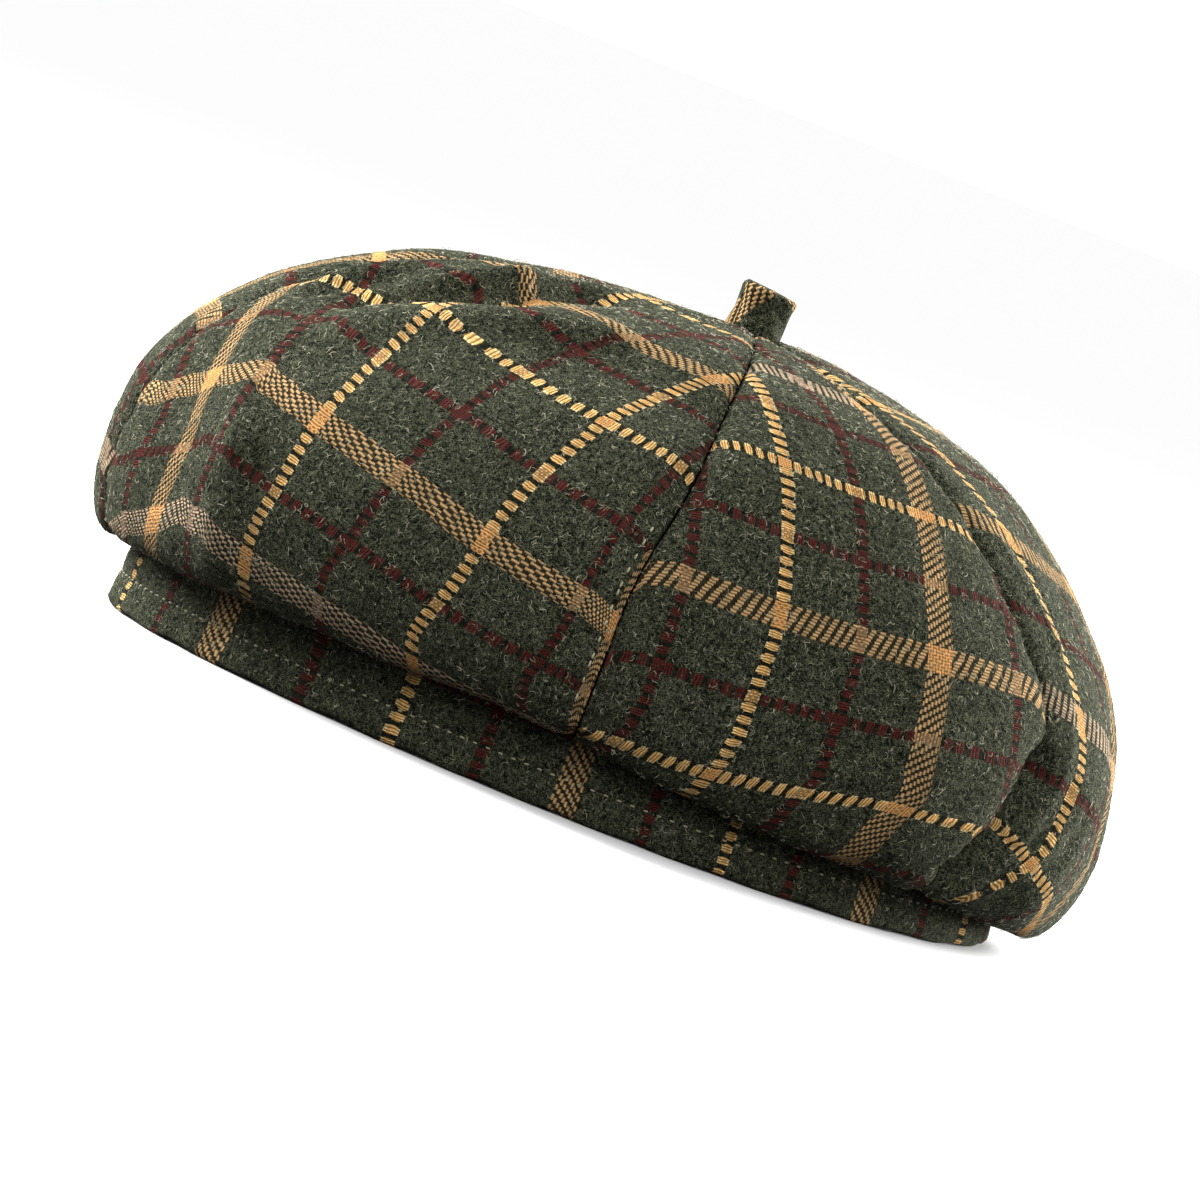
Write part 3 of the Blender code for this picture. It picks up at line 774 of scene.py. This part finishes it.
def make_cloth(name):
    material, tree, place, surface = new_material(name, WOOL_FINISH)
    colour, bulge, striped, either = weave(tree, place)
    # Felted fibres blur the ground's threads, and less so the stripes'.
    bulge = add(tree, "Math", (bulge, THREAD_STEEP), operation="POWER")
    crisp = add(tree, "Math", (striped, CRISP_STRIPE, CRISP_GROUND), operation="MULTIPLY_ADD")
    felt = add(tree, "TexNoise",
               {"Vector": place, "Scale": 1 / FELT_SIZE, "Detail": 2.0, "Roughness": 0.6})
    felt = add(tree, "MapRange", (felt, *FELT_RANGE))
    height = add(tree, "Mix", {0: crisp, 2: felt, 3: bulge})
    # Painted shade and light: the colour is darkened between the threads and lightened on their
    # crowns, and mottled at random by the felt.
    shade_and_mottle = add(tree, "MapRange", (height, *SHADE_AND_MOTTLE_RANGE))
    colour = add(tree, "MixRGB", (1.0, colour, shade_and_mottle), blend_type="MULTIPLY")
    # The wool was dyed before spinning, so the ground is a mix of darker and greyer tufts.
    tuft = add(tree, "TexNoise",
               {"Vector": place, "Scale": 1 / TUFT_SIZE, "Detail": 5.0, "Roughness": 0.6})
    tuft = add(tree, "MapRange", (tuft, *TUFT_RANGE))
    grey = add(tree, "MixRGB", (tuft, TUFT_DARK, TUFT_PALE))
    colour = add(tree, "MixRGB", (1.0, colour, grey), blend_type="MULTIPLY")
    # Single fibres stand out as thin curls: the level lines of a soft noise.
    nap = None
    for size, thin, bend, cover in CURL_LAYERS:
        line = add(tree, "TexNoise",
                   {"Vector": place, "Scale": 1 / size, "Detail": 1.0, "Distortion": bend})
        line = chain(tree, "Math", line, ("SUBTRACT", 0.5), ("ABSOLUTE",))
        line = add(tree, "MapRange", (line, thin, thin * CURL_CORE, 0.0, 1.0))
        torn = add(tree, "TexNoise",
                   {"Vector": place, "Scale": 1 / (size * BARE_SIZE), "Detail": 1.0})
        torn = add(tree, "MapRange", (torn, cover + BARE_FROM, cover + BARE_TO, 0.0, 1.0))
        line = add(tree, "Math", (line, torn), operation="MULTIPLY")
        nap = line if nap is None else add(tree, "Math", (nap, line), operation="MAXIMUM")
    pale = chain(tree, "Math", either, ("MULTIPLY_ADD", -NAP_LESS, NAP_GROUND), ("MULTIPLY", nap))
    colour = add(tree, "MixRGB", (pale, colour, (*FIBRE, 1)))
    height = add(tree, "Math", (nap, NAP_HEIGHT, height), operation="MULTIPLY_ADD")
    bump = add(tree, "Bump", {"Height": height, "Strength": BUMP_SHARE, "Distance": BUMP_HEIGHT})
    tree.links.new(colour.outputs[0], surface.inputs["Base Color"])
    tree.links.new(bump.outputs[0], surface.inputs["Normal"])
    return material


wool_check = make_cloth("wool_check")
print("cloth nodes", len(wool_check.node_tree.nodes))

# %% [markdown]
# # The six gores
# Each gore is a slab 2.1 mm thick between two seams. Its columns crowd towards the
# seams, where the cloth turns in within a millimetre or two, and its rows crowd round
# the roll. The stripe counts come from real distances measured on the finished
# surface, so the check keeps its size over every bulge.

# %% Grid of one gore
GORES = (
    ("gore_front_left", 5, 0), ("gore_front_right", 0, 1), ("gore_right", 1, 2),
    ("gore_back_right", 2, 3), ("gore_back", 3, 4), ("gore_left", 4, 5),
)
EDGE_STEPS = np.array([0, 0.35, 0.8, 1.4, 2.2, 3.3, 4.7, 6.4]) * MM
MIDDLE_COLUMNS = 61
# A gore's edge is set off from the seam as if the cloth were this much nearer the axis.
NEARER = 0.95
DOME_ROWS, ROLL_ROWS = 84, 40


def gore_grid(left, right):
    """Azimuth and share of the run at each row and column of a gore."""
    down = np.linspace(0, DOME_SHARE, DOME_ROWS + 1)[:-1]
    under = DOME_SHARE + (1 - DOME_SHARE) * np.linspace(0, 1, ROLL_ROWS)
    shares = np.concatenate([down, under])
    start, end = seam_azimuth(left, shares), seam_azimuth(right, shares)
    start = np.where(start > end, start - 360, start)
    middle = plain_point((start + end) / 2, shares)
    radius = np.maximum(np.hypot(middle[:, 0], middle[:, 1]) * NEARER, STALK_WIDTH / 2)
    width = np.radians(end - start) * radius
    scale = np.minimum(1, width / (4 * EDGE_STEPS[-1]))[:, None]
    low = (GAP / 2 + EDGE_STEPS[None] * scale) / width[:, None]
    inside = np.linspace(0, 1, MIDDLE_COLUMNS + 2)[None, 1:-1]
    centre = low[:, -1:] + (1 - 2 * low[:, -1:]) * inside
    part = np.concatenate([low, centre, 1 - low[:, ::-1]], axis=1)
    azimuth = start[:, None] + (end - start)[:, None] * part
    return azimuth, np.repeat(shares[:, None], part.shape[1], axis=1)


def lap_row(row):
    """The cloth's last row, level over the top of the headband."""
    radius = np.hypot(row[:, 0], row[:, 1])
    level = row.copy()
    level[:, :2] *= ((radius - LAP) / radius)[:, None]
    return level


def grid_normals(points):
    """Outward normals of a grid of points."""
    return unit(np.cross(np.gradient(points, axis=0), np.gradient(points, axis=1)))


# %% Make the gores
gore_skins = {}
for gore_name, left_seam, right_seam in GORES:
    azimuth, share = gore_grid(left_seam, right_seam)
    outer = cloth_point(azimuth, share)
    normal = grid_normals(outer)
    inner = outer - CLOTH * normal
    outer = np.concatenate([outer, lap_row(outer[-1])[None]])
    inner = np.concatenate([inner, lap_row(inner[-1])[None]])
    normal = np.concatenate([normal, normal[-1:]])
    across = np.linalg.norm(np.diff(outer, axis=1), axis=2)
    across = np.concatenate([np.zeros((len(outer), 1)), np.cumsum(across, axis=1)], axis=1)
    across = across - across[:, across.shape[1] // 2][:, None]
    down = np.linalg.norm(np.diff(outer, axis=0), axis=2)
    down = np.concatenate([np.zeros((1, outer.shape[1])), np.cumsum(down, axis=0)])
    counts = lay_check(gore_name, across, down)
    gore = add_mesh(
        gore_name + "_cloth",
        np.concatenate([outer, inner]),
        slab_faces(*outer.shape[:2]),
        np.concatenate([counts, counts]),
        wool_check,
    )
    tidy_normals(gore)
    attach(gore, "root")
    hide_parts(gore_name)
    gore_skins[gore_name] = (outer, normal, across, down)
    print(gore_name, "faces", len(gore.data.polygons), "width mm", round(np.ptp(across) / MM))

# %% [markdown]
# # The headband
# The band is one strip of the same cloth, folded at its lower edge, so that edge is
# round and a little uneven. A line of stitching runs about 7.5 mm above it and pulls
# a shallow groove. The strip is laid with its own stripe count, and its two ends meet
# under the back seam.

# %% Headband
BAND_COLUMNS = 420
BAND_STITCH_HEIGHT = 7.4 * MM
BAND_GROOVE, BAND_GROOVE_SPREAD = 0.35 * MM, 1.1 * MM
BAND_JOIN = 168
BAND_STRIPE_ARCS = (-102, -84, -57, -34, -15, 4.6, 21.7, 39.4, 54.2, 74.4, 93.3)
BAND_STRIPE_FIRST = 9
BAND_STRIPE_PITCH = 19.4
# Heights of the rows, crowded at the folded edge and at the stitching.
BAND_PROFILE = (0.0, 0.25, 0.7, 1.6, 3.0, 4.6, 5.6, 6.3, 6.9, 7.4, 7.9, 8.5, 9.3, 10.5,
                12.5, 15.0, 18.0, 21.0, 23.6, 25.1)
BAND_FOLD, BAND_RIPPLE, BAND_RIPPLE_FADE = 1.2 * MM, 0.45 * MM, 14 * MM
BAND_SCALLOP, BAND_SCALLOP_FADE = 0.28 * MM, 6 * MM
BAND_WEFT = 1.86


def band_radius(azimuth, height):
    """Outer face of the headband, with its flare and groove, and two sets of small waves
    of uneven pitch round its loose edge."""
    flare = BAND_FLARE * (1 - height / BAND_HEIGHT) ** 1.5
    away = (height - BAND_STITCH_HEIGHT) / BAND_GROOVE_SPREAD
    groove = BAND_GROOVE * np.exp(-(away**2))
    a = np.radians(azimuth)
    ripple = 0.32 * np.sin(37 * a + 1.3 * np.sin(5 * a)) + 0.25 * np.sin(61 * a + 2.0)
    loose = np.clip(1 - height / BAND_RIPPLE_FADE, 0, 1)
    return band_reach(azimuth) + flare - groove + ripple * loose * BAND_RIPPLE


azimuth = BAND_JOIN - 360 + 360 * (np.arange(BAND_COLUMNS) + 0.5) / BAND_COLUMNS
heights = np.array(BAND_PROFILE) * MM


def edge_rounding(height):
    """How far the folded edge turns in at a height."""
    return BAND_FOLD - math.sqrt(max(BAND_FOLD**2 - max(BAND_FOLD - height, 0) ** 2, 0))


rows = []
for height in heights:
    reach = band_radius(azimuth, height) - edge_rounding(height)
    rows.append((reach, np.full(BAND_COLUMNS, height), height))
for height in heights[::-1]:
    reach = band_radius(azimuth, height) - BAND_WALL + edge_rounding(height)
    rows.append((reach, np.full(BAND_COLUMNS, height), 2 * BAND_HEIGHT - height))
a = np.radians(azimuth)
# The folded edge waves a little; it touches the floor at its lowest places.
scallop = BAND_SCALLOP * (1 + np.sin(29 * a + 1.7 * np.sin(4 * a)))
points, counts = [], []
foot = rows[0][0]
arc = np.cumsum(np.hypot(np.gradient(foot * np.sin(a)), np.gradient(foot * np.cos(a))))
arc = (arc - np.interp(0, azimuth, arc)) / MM
stripe_arcs = np.array(BAND_STRIPE_ARCS)
stripe_numbers = BAND_STRIPE_FIRST - np.arange(len(stripe_arcs))
outside = np.minimum(arc - stripe_arcs[0], 0) + np.maximum(arc - stripe_arcs[-1], 0)
band_count = np.interp(arc, stripe_arcs, stripe_numbers) - outside / BAND_STRIPE_PITCH
for reach, height, walk in rows:
    lifted = height + scallop * np.clip(1 - height / BAND_SCALLOP_FADE, 0, 1)
    points.append(around(azimuth, reach, lifted))
    weft_count = np.full(BAND_COLUMNS, BAND_WEFT - walk / (CHECK_MM * MM))
    counts.append(np.stack([band_count, weft_count], axis=-1))
# One ring of corners goes round the strip's section, and the rings go round the head.
points, counts = (np.array(v).transpose(1, 0, 2) for v in (points, counts))
faces = tube_faces(*points.shape[:2])
band = add_mesh("headband_cloth", points, faces, counts, wool_check)
tidy_normals(band)
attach(band, "root")
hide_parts("headband")
print("headband round mm", round(np.ptp(arc)), "faces", len(band.data.polygons))

# %% [markdown]
# # The stalk
# The stub on top is a small strip of the same cloth rolled up tight and sewn in where
# the gores meet. It is a stubby, slightly crooked roll with a flat end that shows the
# turns, so it is built as a round block whose end has a shallow spiral groove.

# %% Stalk
STALK_TURNS = 2.2
STALK_SIDES, STALK_RISES, STALK_RINGS = 72, 18, 12
STALK_GROOVE = 0.45 * MM
STALK_LEAN, STALK_SLOPE = 0.4 * MM, 0.55 * MM
# The end stands this much under the CAD's, and its edge is rounded by this much.
STALK_SUNK, STALK_END, STALK_ROUNDED = 0.6 * MM, 0.2 * MM, 1.1 * MM
# Stripe counts in front at the foot of the stalk, and the slant of the bias cut.
STALK_WARP, STALK_WEFT, BIAS_ALONG, BIAS_ACROSS = 14.42, 3.20, 0.80, 0.55
STALK_ROUND_MM = 6.2
# Share of the height where the end's edge begins to round, and how far it goes over.
STALK_EDGE_FROM, STALK_EDGE_OVER = 0.88, 0.98


def stalk_counts(turns, up):
    """The strip is cut on the bias, so both stripe counts climb as well as turn."""
    round_mm = ((turns + np.pi) % (2 * np.pi) - np.pi) * STALK_ROUND_MM
    up_mm = np.broadcast_to(up, turns.shape) / MM
    warp = STALK_WARP + (BIAS_ALONG * round_mm - BIAS_ACROSS * up_mm) / CHECK_MM
    weft = STALK_WEFT + (BIAS_ACROSS * round_mm + BIAS_ALONG * up_mm) / CHECK_MM
    return np.stack([warp, weft], axis=-1)


def stalk_radius(turn, rise):
    """Radius of the rolled stub at an angle and a share of its height: a taper, uneven
    lumps in mm, the groove of the strip's last edge and a slight waist."""
    base = STALK_WIDTH / 2 + (STALK_TOP_WIDTH - STALK_WIDTH) / 2 * rise
    lumps = 0.22 * np.sin(2 * turn + 0.6) + 0.20 * np.sin(3 * turn + 4 * rise)
    lumps = lumps + 0.16 * np.sin(7 * turn + 9 * rise) + 0.55 * rise**2
    lap = -0.55 * np.exp(-(((turn - 5.3 + 0.4 * rise) / 0.10) ** 2))
    waist = -0.35 * np.sin(np.pi * np.clip(rise, 0, 1))
    return base + (lumps + lap + waist) * MM


turns = np.linspace(0, 2 * np.pi, STALK_SIDES, endpoint=False)
low, top = CROWN_TOP - CLOTH, CROWN_TOP + STALK_HEIGHT - STALK_SUNK
points, counts = [], []
for k in range(STALK_RISES):
    rise = k / (STALK_RISES - 1)
    reach = stalk_radius(turns, rise)
    rounded = np.clip((rise - STALK_EDGE_FROM) / (1 - STALK_EDGE_FROM), 0, 1)
    reach = reach - STALK_ROUNDED * (1 - np.sqrt(1 - rounded**2 * STALK_EDGE_OVER))
    height = low + (top - low - STALK_END) * rise
    x = APEX_OFFSET + STALK_LEAN * rise + reach * np.sin(turns)
    z = height - STALK_SLOPE * rise * np.sin(turns)
    points.append(np.stack([x, -reach * np.cos(turns), z], axis=-1))
    counts.append(stalk_counts(turns, height - low))
for k in range(1, STALK_RINGS):
    shrink = 1 - k / STALK_RINGS
    reach = (stalk_radius(turns, 1.0) - STALK_ROUNDED) * shrink
    wound = np.sin(2 * np.pi * STALK_TURNS * shrink - turns)
    height = top - STALK_END - STALK_GROOVE * 0.5 * (1 - wound) * np.clip(k / 2, 0, 1)
    height = height - STALK_SLOPE * shrink * np.sin(turns)
    x = APEX_OFFSET + STALK_LEAN + reach * np.sin(turns)
    points.append(np.stack([x, -reach * np.cos(turns), height], axis=-1))
    counts.append(stalk_counts(turns, top - low + k * 0.5 * MM))
faces = tube_faces(len(points), STALK_SIDES)
stalk = add_mesh("stalk_roll", points, faces, counts, wool_check)
tidy_normals(stalk)
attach(stalk, "root")
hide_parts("stalk")
print("stalk height mm", round((top - low) / MM, 1))

# %% [markdown]
# # Stitches
# The sewing thread is a pale polished cotton. Along the headband it makes a row of
# short dashes, each dipping into the cloth at its ends, and a few show beside the
# front seam. Each stitch is a small closed bowed bead of thread.

# %% Sewing thread
thread_material, thread_tree, place, thread_surface = new_material(
    "sewing_cotton", {"Roughness": 0.7, "Specular IOR Level": 0.3})
COTTON = linear("#b3b08f")
TWIST_SCALE, TWIST_DARK = 700.0, 0.80
# How fully a bead is round towards its ends, and its rise and dip against its radius.
BEAD_FULL, BEAD_RISE, BEAD_DIP = 0.93, 0.35, 1.1
twist = add(thread_tree, "TexWave", {"Vector": place, "Scale": TWIST_SCALE, "Distortion": 2.0})
twist = add(thread_tree, "MapRange", {0: twist.outputs[1], 3: TWIST_DARK, 4: 1.0})
tint = add(thread_tree, "MixRGB", (1.0, (*COTTON, 1), twist), blend_type="MULTIPLY")
thread_tree.links.new(tint.outputs[0], thread_surface.inputs["Base Color"])


def bead_chain(name, centres, ways, outs, length, radius, material, sides=6, steps=5):
    """Closed bowed beads: middle points, directions, outward normals, length, radius."""
    centres, ways, outs = (np.asarray(v, float) for v in (centres, ways, outs))
    sideways = np.cross(ways, outs)
    along = np.linspace(-1, 1, steps)
    thick = np.sqrt(np.clip(1 - (along * BEAD_FULL) ** 4, 0, 1))
    lift = (BEAD_RISE - BEAD_DIP * along**4) * radius
    centre = centres[:, None] + ways[:, None] * (along * length / 2)[None, :, None]
    centre = centre + outs[:, None] * lift[None, :, None]
    thick = (thick * radius)[None, :, None, None]
    return add_tubes(name, centre, sideways[:, None], outs[:, None], thick, sides, material)


# %% Topstitching of the headband
STITCH_PITCH, STITCH_LENGTH, STITCH_RADIUS = 2.9 * MM, 1.15 * MM, 0.20 * MM
stitch_arcs = np.arange(arc[0] + 2, arc[-1] - 2, STITCH_PITCH / MM)
stitch_azimuth = np.interp(stitch_arcs, arc, azimuth)
reach = band_radius(stitch_azimuth, BAND_STITCH_HEIGHT)
centres = around(stitch_azimuth, reach, BAND_STITCH_HEIGHT)
ways = np.roll(centres, -1, axis=0) - centres
ways[-1] = ways[-2]
ways = unit(ways)
outs = np.stack([ways[:, 1], -ways[:, 0], np.zeros(len(ways))], axis=-1)
topstitch = bead_chain("headband_topstitch", centres, ways, outs,
                       STITCH_LENGTH, STITCH_RADIUS, thread_material)
tidy_normals(topstitch)
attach(topstitch, "root")
print("stitches round the band", len(centres))

# %% Stitches beside the front seam
SEAM_STITCH_FROM, SEAM_STITCH_TO, SEAM_STITCH_PITCH = 98, 138, 3.1
SEAM_STITCH_IN, SEAM_STITCH_LENGTH, SEAM_STITCH_RADIUS = 2.7 * MM, 1.5 * MM, 0.22 * MM
outer, normal, across, down = gore_skins["gore_front_left"]
seam_points, seam_ways, seam_outs = [], [], []
from_seam = across[:, -1:] - across
last_down = down[:, -1]
for run in np.arange(SEAM_STITCH_FROM, SEAM_STITCH_TO, SEAM_STITCH_PITCH) * MM:
    j = int(np.searchsorted(last_down, run))
    i = int(np.argmin(np.abs(from_seam[j] - SEAM_STITCH_IN)))
    way = outer[j + 1, i] - outer[j - 1, i]
    seam_points.append(outer[j, i])
    seam_ways.append(unit(way))
    seam_outs.append(normal[j, i])
seam_stitch = bead_chain("front_seam_stitches", seam_points, seam_ways, seam_outs,
                         SEAM_STITCH_LENGTH, SEAM_STITCH_RADIUS, thread_material)
tidy_normals(seam_stitch)
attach(seam_stitch, "root")
print("stitches beside the seam", len(seam_points))

# %% [markdown]
# # Loose fibres
# What makes it look like wool is the nap: fine pale curls that lie on the cloth and
# stand out at its outline. A real fibre is 0.03 mm thick, which no picture of this
# size can show, so these are drawn about three times as thick and fewer. Each is a
# three-sided closed tube that wanders over the cloth and dips back in at both ends.

# %% Wool fibre
fibre_material, fibre_tree, place, fibre_surface = new_material(
    "wool_fibre", {"Roughness": 0.8, "Specular IOR Level": 0.25})
HAIR_DULL, HAIR_PALE = linear("#757960"), linear("#cdcab0")
HAIR_PATCH, HAIR_RANGE = 1.6 * MM, (0.40, 0.62, 0.0, 1.0)
tone = add(fibre_tree, "TexNoise", {"Vector": place, "Scale": 1 / HAIR_PATCH})
tone = add(fibre_tree, "MapRange", (tone, *HAIR_RANGE))
tone = add(fibre_tree, "MixRGB", (tone, (*HAIR_DULL, 1), (*HAIR_PALE, 1)))
fibre_tree.links.new(tone.outputs[0], fibre_surface.inputs["Base Color"])
print("fibre nodes", len(fibre_tree.nodes))

# %% Laying fibres over a grid
FIBRE_RADIUS = 0.050 * MM
FIBRE_STEPS = 5
# Ranges in mm. A few fibres stand up taller than the rest.
FIBRE_LENGTH, FIBRE_RISE, TALL_RISE, TALL_SHARE = (0.9, 2.4), (0.10, 0.26), (0.35, 0.75), 0.06
FIBRE_DIP = 0.10 * MM
# Bend of a whole fibre, what each step takes of it, its wander and its thickness.
FIBRE_CURL, FIBRE_BEND, FIBRE_WANDER, FIBRE_THICK = 1.1, 0.75, 0.35, (0.7, 1.25)
FIBRES_PER_MM2 = 0.270


def lay_fibres(name, outer, normal, seed):
    """Curled fibres over a grid of the cloth's outer face."""
    random = np.random.default_rng(seed)
    du = outer[1:, 1:] - outer[:-1, :-1]
    dv = outer[1:, :-1] - outer[:-1, 1:]
    cell = np.linalg.norm(np.cross(du, dv), axis=-1) / 2
    count = int(cell.sum() / MM**2 * FIBRES_PER_MM2)
    pick = random.choice(cell.size, count, p=(cell / cell.sum()).ravel())
    j, i = np.unravel_index(pick, cell.shape)
    fj, fi = random.random(count)[:, None], random.random(count)[:, None]
    base = (outer[j, i] * (1 - fj) * (1 - fi) + outer[j + 1, i] * fj * (1 - fi)
            + outer[j, i + 1] * (1 - fj) * fi + outer[j + 1, i + 1] * fj * fi)
    out = normal[j, i]
    side = unit(outer[j, i + 1] - outer[j, i])
    up = np.cross(out, side)
    heading = random.uniform(0, 2 * np.pi, count)
    curl = random.normal(0, FIBRE_CURL, count)
    length = random.uniform(*FIBRE_LENGTH, count) * MM
    rise = random.uniform(*FIBRE_RISE, count) * MM
    tall = random.random(count) < TALL_SHARE
    rise = np.where(tall, random.uniform(*TALL_RISE, count) * MM, rise)
    steps = np.linspace(0, 1, FIBRE_STEPS)
    position = base.copy()
    path = []
    for t in steps:
        arch = rise * (4 * t * (1 - t)) - FIBRE_DIP
        path.append(position + out * arch[:, None])
        step = length / (FIBRE_STEPS - 1)
        ahead = side * np.cos(heading)[:, None] + up * np.sin(heading)[:, None]
        position = position + ahead * step[:, None]
        heading = heading + curl * FIBRE_BEND + random.normal(0, FIBRE_WANDER, count)
    path = np.stack(path, axis=1)
    way = unit(np.gradient(path, axis=1))
    first = unit(np.cross(way, out[:, None]))
    thick = FIBRE_RADIUS * random.uniform(*FIBRE_THICK, count)[:, None, None, None]
    return add_tubes(name, path, first, np.cross(way, first), thick, 3, fibre_material)


# %% Nap of the gores
# The rows of a gore that carry nap end inside the roll.
NAP_ROWS, NAP_SEED = DOME_ROWS + 28, 100
for seed, (gore_name, _, _) in enumerate(GORES):
    outer, normal, _, _ = gore_skins[gore_name]
    kept = slice(0, NAP_ROWS)
    nap = lay_fibres(gore_name + "_nap", outer[kept], normal[kept], NAP_SEED + seed)
    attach(nap, "root")
    print(nap.name, "faces", len(nap.data.polygons))

# %% Fibres of the headband
BAND_NAP_TOP, BAND_NAP_FOOT, BAND_NAP_ROWS, BAND_NAP_SEED = 24 * MM, 2.6 * MM, 12, 200
nap_heights = np.linspace(BAND_NAP_TOP, BAND_NAP_FOOT, BAND_NAP_ROWS)
band_outer = np.array([around(azimuth, band_radius(azimuth, h), h) for h in nap_heights])
band_nap = lay_fibres("headband_nap", band_outer, grid_normals(band_outer), BAND_NAP_SEED)
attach(band_nap, "root")

# %% [markdown]
# # Floor and light
# A product picture on white: a pale floor that runs off into an equally white
# surround, so that no line shows where they meet, one big soft light high on the left
# and a little behind, which leaves the front right in shade, one behind on the right,
# and a faint one in front, so that no fold goes black. The sky stops at the horizon and
# the floor sends no light back up, so the headband lies in deep shade, as under a real
# overhang.

# %% Studio floor
paper, paper_tree, place, paper_surface = new_material(
    "studio_paper", {"Roughness": 0.9, "Specular IOR Level": 0.0})
PAPER_DULL, PAPER_PALE, PAPER_GRAIN = linear("#f4f4f4"), linear("#f8f8f8"), 2.5 * MM
grain = add(paper_tree, "TexNoise", {"Vector": place, "Scale": 1 / PAPER_GRAIN})
shade = add(paper_tree, "MixRGB", (grain, (*PAPER_DULL, 1), (*PAPER_PALE, 1)))
paper_tree.links.new(shade.outputs[0], paper_surface.inputs["Base Color"])

FLOOR_HALF = 30.0
points = [(x * FLOOR_HALF, y * FLOOR_HALF, 0) for x, y in ((-1, -1), (1, -1), (1, 1), (-1, 1))]
floor = add_mesh("studio_floor", points, [(0, 1, 2, 3)], None, paper)
floor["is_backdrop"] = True

# %% Studio light
SKY, SKY_SLOPE, HORIZON = 1.06, 0.42, -0.02
world = bpy.data.worlds.new("studio")
bpy.context.scene.world = world
world.use_nodes = True
sky = world.node_tree
way = add(sky, "SeparateXYZ", (add(sky, "TexCoord").outputs["Generated"],))
above = add(sky, "Math", (way.outputs[2], HORIZON), operation="GREATER_THAN")
# Brighter behind than in front; the floor gets as much as from an even sky.
slope = add(sky, "Math", (way.outputs[1], SKY * SKY_SLOPE, SKY), operation="MULTIPLY_ADD")
above = add(sky, "Math", (above, slope), operation="MULTIPLY")
sky.links.new(above.outputs[0], sky.nodes["Background"].inputs[1])
sky.nodes["Background"].inputs[0].default_value = (1, 1, 1, 1)
floor.visible_diffuse = False
bpy.context.scene.view_settings.view_transform = "Standard"

# Name, place, width, power.
LIGHTS = (
    ("key", (-1.15, 0.48, 0.62), 0.7, 63.0),
    ("rim", (0.98, 0.72, 0.38), 0.8, 52.0),
    ("fill", (0.25, -1.15, 0.80), 0.7, 7.0),
)
for name, spot, width, power in LIGHTS:
    lamp = bpy.data.lights.new(name, "AREA")
    lamp.shape = "SQUARE"
    lamp.size = width
    lamp.energy = power
    holder = bpy.data.objects.new(name, lamp)
    bpy.context.scene.collection.objects.link(holder)
    holder.location = spot
    aim = VIEW_AIM - Vector(spot)
    holder.rotation_mode = "QUATERNION"
    holder.rotation_quaternion = aim.to_track_quat("-Z", "Y")

# %% Sizes
low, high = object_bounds()
print("visual box in mm", [round(v / MM, 1) for v in high - low])
